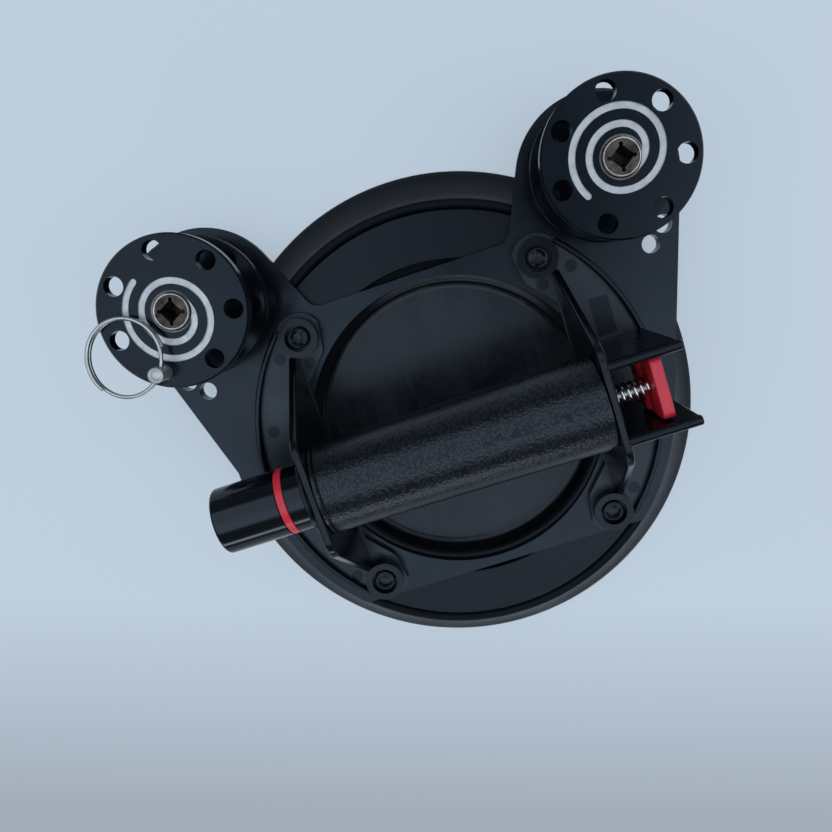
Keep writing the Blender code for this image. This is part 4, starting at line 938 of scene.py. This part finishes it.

# %% [markdown]
# ## Release lever, pin and spring
# The red lever rocks on a rolled pin between the two guards, and a small chrome spring holds it out.
# The lever is a rounded block with a round hub joined across it. The spring is a wire circle spun
# round the grip's axis while it moves along it, which gives a true coil.

# %% Release lever and its pin
LEVER_HALF = 11.4 * MM
LEVER_FOOT = 42.0 * MM
LEVER_HEAD = 76.0 * MM
LEVER_FACE = 69.7 * MM
LEVER_BACK = 74.0 * MM
HUB_RADIUS = 3.2 * MM
HUB_HALF = 10.0 * MM
corners = [(-LEVER_HALF, LEVER_FOOT), (LEVER_HALF, LEVER_FOOT), (LEVER_HALF, LEVER_HEAD),
           (-LEVER_HALF, LEVER_HEAD)]
outline = draw(corners[0], corners[1:], plane="flat", closed=True)
round_corners(outline, corners, 2.6 * MM, 8)
lever = soften(stand_up(raise_up(outline, LEVER_FACE, LEVER_BACK)), 0.7 * MM, 4, 60)
hub = soften(on_pivot(post(HUB_RADIUS, -HUB_HALF, HUB_HALF, steps=48)), 0.5 * MM, 3, 60)
bore = on_pivot(post(LEVER_PIN_HOLE, -22 * MM, 22 * MM, steps=32))
lever = soften(cut(join(lever, hub), bore), 0.2 * MM, 2, 50)
hand_over(lever, "release_lever", [SIGNAL_RED])

PIN_REACH = GUARD_Y + 1.5 * MM
PIN_BORE = 0.6 * MM
PIN_OUTER = 1.3 * MM
PIN_ROUND = 0.3 * MM
rounded = PIN_OUTER - PIN_ROUND
lever_pin = draw((PIN_BORE, -PIN_REACH), [
    (rounded, -PIN_REACH), (rounded, -PIN_REACH + PIN_ROUND, 90), (PIN_OUTER, PIN_REACH - PIN_ROUND),
    (rounded, PIN_REACH - PIN_ROUND, 90), (PIN_BORE, PIN_REACH)], closed=True, steps=6)
lever_pin = on_pivot(turn(lever_pin, 32))
hand_over(lever_pin, "lever_pin", [SCREW_BLACK])

# %% Coil maker and the lever's spring
COIL_STEPS = 36
COIL_SIDES = 12


def coil(node, middle_radius, wire, turns):
    """A wire circle spun round X while it moves along its CAD piece, with its cut ends closed."""
    start, length = low(node).x + wire, high(node).x - low(node).x - 2 * wire
    solid = bmesh.new()
    section = Matrix.Translation((start, 0, middle_radius)) @ Matrix.Rotation(math.radians(90), 4, "X")
    bmesh.ops.create_circle(solid, cap_ends=False, segments=COIL_SIDES, radius=wire, matrix=section)
    steps = turns * COIL_STEPS
    bmesh.ops.spin(solid, geom=solid.verts[:] + solid.edges[:], cent=CENTRE, axis=(1, 0, 0),
                   dvec=(length / steps, 0, 0), angle=2 * math.pi * turns, steps=steps,
                   use_merge=False, use_duplicate=False)
    bmesh.ops.holes_fill(solid, edges=solid.edges, sides=COIL_SIDES)
    return shift(solid, (0, 0, GRIP_Z))


SPRING_WIRE = 0.55 * MM
SPRING_RADIUS = 3.6 * MM
spring = hand_over(coil("lever_spring", SPRING_RADIUS, SPRING_WIRE, 5), "lever_spring", [CHROME])
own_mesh(spring)

# %% [markdown]
# ## Winding reels
# Each reel has two drilled flanges on a core, and the top one carries a spiral groove that is cut
# through the black anodising, so its floor is bare bright metal. The spiral is made of half circles
# round two centres in turn, each one step wider than the last, just as it would be set out with
# compasses. The faces inside the groove are picked by height and get the bare metal finish.

# %% Spiral cutter
FLANGE_RADIUS = 26.9 * MM
FLANGE_EDGE = 0.6 * MM
BORE_LEAD = 0.7 * MM
FLANGE_HOLES = 7
HOLE_RADIUS = 3.5 * MM
HOLE_CIRCLE = 21.65 * MM
FIRST_HOLE = {"left": 87, "right": 88}
SHAFT_RADIUS = 6.3 * MM
SPIRAL_HALF = 1.15 * MM
SPIRAL_RADIUS = 7.8 * MM
SPIRAL_STEP = 2.85 * MM
SPIRAL_END = {"left": 128, "right": 140}
GROOVE_DEPTH = 0.5 * MM


def spiral_slot(top, end):
    """The spiral's slot as a solid, drawn out along its outer side and back along its inner side."""
    outer = SPIRAL_RADIUS + SPIRAL_HALF
    last_radius = SPIRAL_RADIUS + 3 * SPIRAL_STEP
    tip = polar(last_radius, -90 - end, (0, SPIRAL_STEP))
    slot = draw((0, outer), [
        (0, 0, -180), (0, SPIRAL_STEP, -180), (0, 0, -180), (0, SPIRAL_STEP, -end), (*tip, -180),
        (0, SPIRAL_STEP, end), (0, 0, 180), (0, SPIRAL_STEP, 180), (0, 0, 180)],
        plane="flat", closed=True, steps=40)
    return shift(raise_up(slot, top - GROOVE_DEPTH, top + MM), (0, -SPIRAL_STEP, 0))


print("Spiral is %.1f mm wide" % (2 * SPIRAL_HALF / MM))

# %% Flanges
def flange(side, level):
    node = "%s_%s_flange" % (side, level)
    bottom, top = low(node).z, high(node).z
    disc = ring_blank(SHAFT_RADIUS + TOUCH, FLANGE_RADIUS, bottom, top, FLANGE_EDGE, BORE_LEAD,
                      steps=144)
    cuts = []
    for number in range(FLANGE_HOLES):
        spot = polar(HOLE_CIRCLE, FIRST_HOLE[side] + 360 / FLANGE_HOLES * number)
        cuts.append(post(HOLE_RADIUS, bottom - MM, top + MM, spot, 40))
    if level == "top":
        slot = spiral_slot(top, SPIRAL_END[side])
        if side == "right":
            bmesh.ops.scale(slot, verts=slot.verts, vec=(1, -1, 1))
            bmesh.ops.reverse_faces(slot, faces=slot.faces)
        cuts.append(swing(slot, -PHOTO_TURN))
    disc = cut(disc, *cuts)
    for part in disc.faces:
        height = part.calc_center_median().z
        shallow = top - GROOVE_DEPTH - 0.02 * MM < height < top - 0.02 * MM
        at_rim = math.hypot(*part.calc_center_median().xy) > FLANGE_RADIUS - FLANGE_EDGE
        part.material_index = 1 if level == "top" and shallow and not at_rim else 0
    disc = soften(disc, 0.12 * MM, 2, 40)
    hand_over(over_node(disc, node), node, [FLANGE_BLACK, BARE_ALUMINIUM])


for side in ("left", "right"):
    for level in ("top", "lower"):
        flange(side, level)

# %% [markdown]
# ## Drive shafts, cores and housings
# A steel shaft stands through each reel. Its top has a square socket for a hand winder, with round
# reliefs in the corners from the drill that went in before the broach. The socket's faces get a
# darker, rougher finish than the turned top, as painted shade inside the socket.

# %% Drive shafts
DRIVE_HALF = 2.95 * MM
DRIVE_TURN = {"left": 27, "right": 36}
DRIVE_DEPTH = 14.0 * MM
RELIEF_RADIUS = 0.7 * MM
SPINDLE_RADIUS = 5.0 * MM
SPINDLE_EDGE = 0.6 * MM
SHAFT_ROUND = 0.4 * MM


def drive_socket(top):
    """The square socket and the round reliefs in its corners, as one list of cutters."""
    socket_floor = top - DRIVE_DEPTH
    tall = DRIVE_DEPTH + MM
    square = bmesh.new()
    place = Matrix.Translation((0, 0, socket_floor + tall / 2))
    bmesh.ops.create_cube(square, size=1, matrix=place @ Matrix.Diagonal(
        (2 * DRIVE_HALF, 2 * DRIVE_HALF, tall, 1)))
    corners = [(x * DRIVE_HALF, y * DRIVE_HALF) for x in (-1, 1) for y in (-1, 1)]
    return [square] + [post(RELIEF_RADIUS, socket_floor, top + 2 * MM, corner, 20) for corner in corners]


for side in ("left", "right"):
    node = side + "_drive_shaft"
    foot, top = low(node).z, high(node).z
    shoulder = low(side + "_lower_flange").z - TOUCH
    shaft = turn(draw((0, foot), [
        (SPINDLE_RADIUS - SPINDLE_EDGE, foot), (SPINDLE_RADIUS, foot + SPINDLE_EDGE),
        (SPINDLE_RADIUS, shoulder), (SHAFT_RADIUS, shoulder), (SHAFT_RADIUS, top - SHAFT_ROUND),
        (SHAFT_RADIUS - SHAFT_ROUND, top - SHAFT_ROUND, -90), (0, top)], steps=6), 64)
    shaft = cut(shaft, *[swing(solid, DRIVE_TURN[side]) for solid in drive_socket(top)])
    # Faces inside the socket get the painted shade finish.
    for part in shaft.faces:
        middle = part.calc_center_median()
        inside = math.hypot(middle.x, middle.y) < SHAFT_RADIUS - MM
        inside = inside and foot + MM < middle.z < top - 0.05 * MM
        part.material_index = 1 if inside else 0
    shaft = soften(shaft, 0.15 * MM, 2, 50)
    hand_over(over_node(shaft, node), node, [SHAFT_STEEL, SHADED_SOCKET_STEEL])

# %% Cores, bearing housings and washers
WASHER_BORE = 5.3 * MM
HOUSING_BORE = 5.35 * MM
HOUSING_RADIUS = 10.5 * MM
HOUSING_FOOT = 17.0 * MM
FOOT_THICKNESS = 3.0 * MM
NECK_FILLET = 1.0 * MM
RINGS = (("core", SHAFT_RADIUS + TOUCH, 0.4 * MM, FLANGE_BLACK),
         ("washer", WASHER_BORE, 0.2 * MM, SHAFT_STEEL))


def plain_ring(node, bore, edge, finish):
    """A ring with the radius and the ends of its CAD piece."""
    corner, opposite = low(node), high(node)
    ring = ring_blank(bore, (opposite.x - corner.x) / 2, corner.z, opposite.z, edge)
    hand_over(over_node(ring, node), node, [finish])


def bearing_housing(node):
    """A flanged housing: its body goes down through the plate, and its foot rests on top."""
    bottom, top = low(node).z, high(node).z
    foot = plate_top + TOUCH
    foot_top = foot + FOOT_THICKNESS
    housing = turn(draw((HOUSING_BORE, bottom), [
        (HOUSING_RADIUS, bottom), (HOUSING_RADIUS, foot), (HOUSING_FOOT, foot),
        (HOUSING_FOOT, foot_top - 0.5 * MM), (HOUSING_FOOT - 0.5 * MM, foot_top),
        (HOUSING_RADIUS + NECK_FILLET, foot_top),
        (HOUSING_RADIUS + NECK_FILLET, foot_top + NECK_FILLET, -90), (HOUSING_RADIUS, top),
        (HOUSING_BORE, top)], closed=True, steps=6), 72)
    hand_over(over_node(housing, node), node, [FLANGE_BLACK])


for side in ("left", "right"):
    for piece, bore, edge, finish in RINGS:
        plain_ring(side + "_" + piece, bore, edge, finish)
    bearing_housing(side + "_bearing_housing")

# %% [markdown]
# ## Lock pin and split ring
# The pin drops through a flange hole to lock the reel, and a split ring goes through its cross hole.
# The ring is one wire wound twice round, like the spring but with almost no rise. It could be two
# plain rings, but the wound wire shows the two cut ends that tell a split ring from a solid one.

# %% Lock pin
PIN_RADIUS = 2.75 * MM
PIN_DOME = 0.7 * MM
RING_BEARING = 138
CROSS_HOLE = 2.05 * MM
CROSS_HOLE_Z = 75.3 * MM
pin_foot, pin_top = low("lock_pin").z, high("lock_pin").z
pin = turn(draw((0, pin_foot), [
    (PIN_RADIUS - 1.0 * MM, pin_foot), (PIN_RADIUS, pin_foot + 2.0 * MM),
    (PIN_RADIUS, pin_top - PIN_DOME), (PIN_RADIUS - PIN_DOME, pin_top - PIN_DOME, -90),
    (0, pin_top)], steps=6), 48)
cross = swing(swing(post(CROSS_HOLE, -6 * MM, 6 * MM, steps=32), 90, "X"), RING_BEARING)
pin = soften(cut(pin, shift(cross, (0, 0, CROSS_HOLE_Z))), 0.15 * MM, 2, 50)
hand_over(over_node(pin, "lock_pin"), "lock_pin", [PIN_STEEL])

# %% Split ring
RING_RADIUS = 13.7 * MM
RING_WIRE = 0.75 * MM
RING_PITCH = 1.55 * MM
RING_LEAN = 8.21
RING_SWEEP = 578
RING_START = 220
RING_STEPS = 160
RING_SIDES = 14
ring_middle = (RING_RADIUS, 0, 0)
ring_rise = RING_PITCH * RING_SWEEP / 360
ring = bmesh.new()
start = Matrix.Translation((2 * RING_RADIUS, 0, -ring_rise / 2))
bmesh.ops.create_circle(ring, cap_ends=False, segments=RING_SIDES, radius=RING_WIRE,
                        matrix=start @ Matrix.Rotation(math.radians(90), 4, "X"))
bmesh.ops.spin(ring, geom=ring.verts[:] + ring.edges[:], cent=ring_middle, axis=(0, 0, 1),
               dvec=(0, 0, ring_rise / RING_STEPS), angle=math.radians(RING_SWEEP), steps=RING_STEPS,
               use_merge=False, use_duplicate=False)
bmesh.ops.holes_fill(ring, edges=ring.edges, sides=RING_SIDES)
swing(ring, RING_START, about=ring_middle)
swing(swing(ring, RING_LEAN, "Y"), RING_BEARING)
hand_over(shift(ring, (*centre_of("lock_pin").xy, CROSS_HOLE_Z)), "split_ring", [RING_STEEL])

# %% [markdown]
# ## Pump spring
# A long spring inside the barrel pushes the plunger back out, and gives way when the plunger is
# pushed in. It is made as a true coil too.

# %% Pump spring
PUMP_WIRE = 0.8 * MM
PUMP_RADIUS = 9.0 * MM
pump_spring = hand_over(coil("pump_spring", PUMP_RADIUS, PUMP_WIRE, 8), "pump_spring", [CHROME])
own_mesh(pump_spring)

# %% [markdown]
# ## Pieces that stay as the CAD made them
# The barrel, piston and valve inside the grip hardly show, so their CAD shapes are kept as they are.
# They only get the finish of their slot, so that no plain grey shows where a pose opens a gap. The
# barrel is the exception: the little of it that shows is black in the photo.

# %% Finishes for the plain CAD pieces
ALUMINIUM = metal_finish("drawn_aluminium", (0.62, 0.63, 0.65), 0.38)
FINISHES = {
    "cup_rubber": RUBBER_BLACK, "bush_acetal": BUSH_BLACK, "shaft_steel": SHAFT_STEEL,
    "bare_aluminium": ALUMINIUM, "signal_red": SIGNAL_RED, "flange_anodised": FLANGE_BLACK,
    "bright_chrome": CHROME, "screw_black_oxide": SCREW_BLACK, "pin_brass": PIN_BRASS,
    "plate_powder_coat": PLATE_BLACK, "disc_anodised": DISC_BLACK, "bracket_nylon": BRACKET_BLACK,
    "grip_vinyl": GRIP_GRAIN_AND_CREASE_SHADE, "plunger_gloss": PLUNGER_BLACK}
for node, piece in frame["nodes"].items():
    piece.data.materials.clear()
    piece.data.materials.append(FLANGE_BLACK if node == "pump_barrel" else FINISHES[SLOTS[node]])
print("Plain nodes finished:", len(frame["nodes"]))

# %% [markdown]
# ## Light and floor
# The photo is a soft product shot from above: a pale blue-grey sheet, a little darker towards the
# bottom. Two low strips of light, one beyond the reels and one before the cup, help the edges to
# catch thin bright lines, and the pale room of the next cells does the rest. The photo's shadows are
# faint, so where the camera or a mirroring piece sees the sheet, half of its tone is plain and
# doesn't depend on the light.

# %% Floor sheet
PLAIN_SHARE = 0.5
LOWER_TONE = (0.42, 0.435, 0.455)
UPPER_TONE = (0.60, 0.62, 0.64)


def floor_sheet():
    """Pale sheet, part lit and part a plain tone where the camera or a mirror sees it."""
    material, tree, shader, spot = new_finish("floor_sheet")
    turned_spot = mapped(tree, spot, PHOTO_TURN)
    upward = add_node(tree, "ShaderNodeSeparateXYZ", {"Vector": turned_spot}).outputs["Y"]
    share = spread(tree, upward, -0.20, -0.09, 0.0, 1.0)
    paint(tree, shader, share, LOWER_TONE, UPPER_TONE)
    shader.inputs["Roughness"].default_value = 0.9
    shader.inputs["Specular IOR Level"].default_value = 0.1
    plain_tone = blend(tree, share, (0.45, 0.49, 0.565), (0.66, 0.78, 0.91))
    plain = add_node(tree, "ShaderNodeEmission", {"Color": plain_tone, "Strength": 1.0})
    ray = add_node(tree, "ShaderNodeLightPath").outputs
    seen = reckon(tree, "MAXIMUM", ray["Is Camera Ray"], ray["Is Glossy Ray"])
    seen = reckon(tree, "MAXIMUM", seen, ray["Is Transmission Ray"])
    part = reckon(tree, "MULTIPLY", seen, PLAIN_SHARE)
    mixed = add_node(tree, "ShaderNodeMixShader", {
        0: part, 1: shader.outputs["BSDF"], 2: plain.outputs[0]})
    tree.links.new(mixed.outputs[0], tree.nodes["Material Output"].inputs["Surface"])
    return material


sheet = bmesh.new()
bmesh.ops.create_grid(sheet, x_segments=1, y_segments=1, size=1.5)
floor_mesh = bpy.data.meshes.new("floor")
sheet.to_mesh(floor_mesh)
sheet.free()
floor_mesh.materials.append(floor_sheet())
floor = bpy.data.objects.new("floor", floor_mesh)
floor.location.z = -0.2 * MM
bpy.context.collection.objects.link(floor)
print("Floor sheet laid")

# %% Soft lights
def soft_light(name, place, aim, width, height, watts, colour):
    lamp = bpy.data.lights.new(name, "AREA")
    lamp.shape = "RECTANGLE"
    lamp.size, lamp.size_y = width, height
    lamp.energy = watts
    lamp.color = colour
    item = bpy.data.objects.new(name, lamp)
    bpy.context.collection.objects.link(item)
    item.location = place
    item.rotation_euler = (Vector(aim) - Vector(place)).to_track_quat("-Z", "Y").to_euler()


COOL = (0.84, 0.93, 1.0)
soft_light("far_window", (0.35, 1.15, 0.30), (0, 0.03, 0.05), 1.1, 0.08, 0.35, COOL)
soft_light("near_strip", (-0.28, -0.86, 0.30), (0, 0, 0.05), 0.9, 0.15, 1.6, COOL)
print("Lights set")

# %% [markdown]
# ## The pale room
# Black parts show little but what they mirror, so the room matters most. Its ceiling is one wide
# bright panel, the walls are dim, and the camera itself stood before the panel, which darkens the
# level faces near the middle. The world makes all three from the direction of the ray alone: dividing
# the direction by its height tells how far away and how far sideways the ray meets the ceiling.

# %% Room with a ceiling panel
DARK_PLACES = (((0.070, 0.000, 0.998), 10.5), ((0.191, 0.113, 0.975), 8.5))
DARK_LEFT = 0.04
PANEL_STRENGTH = 1.35
WALL_STRENGTH = 0.17
world = bpy.data.worlds.new("pale_room")
world.use_nodes = True
room = world.node_tree
direction = add_node(room, "ShaderNodeTexCoord").outputs["Generated"]
turned = mapped(room, direction, PHOTO_TURN)
split = add_node(room, "ShaderNodeSeparateXYZ", {"Vector": turned}).outputs
height = reckon(room, "MAXIMUM", split["Z"], 0.02)
away = reckon(room, "DIVIDE", split["Y"], height)
sideways = reckon(room, "DIVIDE", reckon(room, "ABSOLUTE", split["X"], 0.0), height)
# Its borders are soft, and each is given as two distances in heights of the ceiling.
panel = reckon(room, "MULTIPLY", spread(room, away, -0.68, -0.50, 0.0, 1.0),
               spread(room, away, 0.80, 1.00, 1.0, 0.0))
panel = reckon(room, "MULTIPLY", panel, spread(room, sideways, 1.2, 1.7, 1.0, 0.0))
panel = reckon(room, "MULTIPLY", panel, spread(room, away, -0.15, 0.10, 1.10, 0.85))
for bearing, reach in DARK_PLACES:
    middle = tuple(Vector(bearing).normalized())
    nearness = add_node(room, "ShaderNodeVectorMath", {0: direction, 1: middle},
                        operation="DOT_PRODUCT").outputs["Value"]
    rim, core = math.cos(math.radians(reach)), math.cos(math.radians(reach / 2))
    panel = reckon(room, "MULTIPLY", panel, spread(room, nearness, rim, core, 1.0, DARK_LEFT))
level = reckon(room, "ADD", reckon(room, "MULTIPLY", panel, PANEL_STRENGTH), WALL_STRENGTH)
background = room.nodes["Background"]
background.inputs["Color"].default_value = (0.74, 0.87, 1.0, 1.0)
room.links.new(level, background.inputs["Strength"])
bpy.context.scene.world = world
print("Room set")

# %% [markdown]
# ## Photo camera
# The camera's place, turn and lens were found from the photo, so that the pieces fall where the
# photo has them. The view transform is the plain one: the finishes were compared with the photo's
# tones, and a film curve would come between the two.

# %% Photo camera
camera_data = bpy.data.cameras.new("photo_camera")
camera = bpy.data.objects.new("photo_camera", camera_data)
bpy.context.collection.objects.link(camera)
camera.location = (0.012920, 0.064335, 0.345760)
camera.rotation_euler = [math.radians(angle) for angle in (-11.0046, 1.6323, -18.4204)]
camera_data.lens = 34.443
camera_data.clip_start = 0.01
bpy.context.scene.camera = camera
bpy.context.scene.view_settings.view_transform = "Standard"
print("Camera stands %.0f mm above the glass" % (camera.location.z / MM))
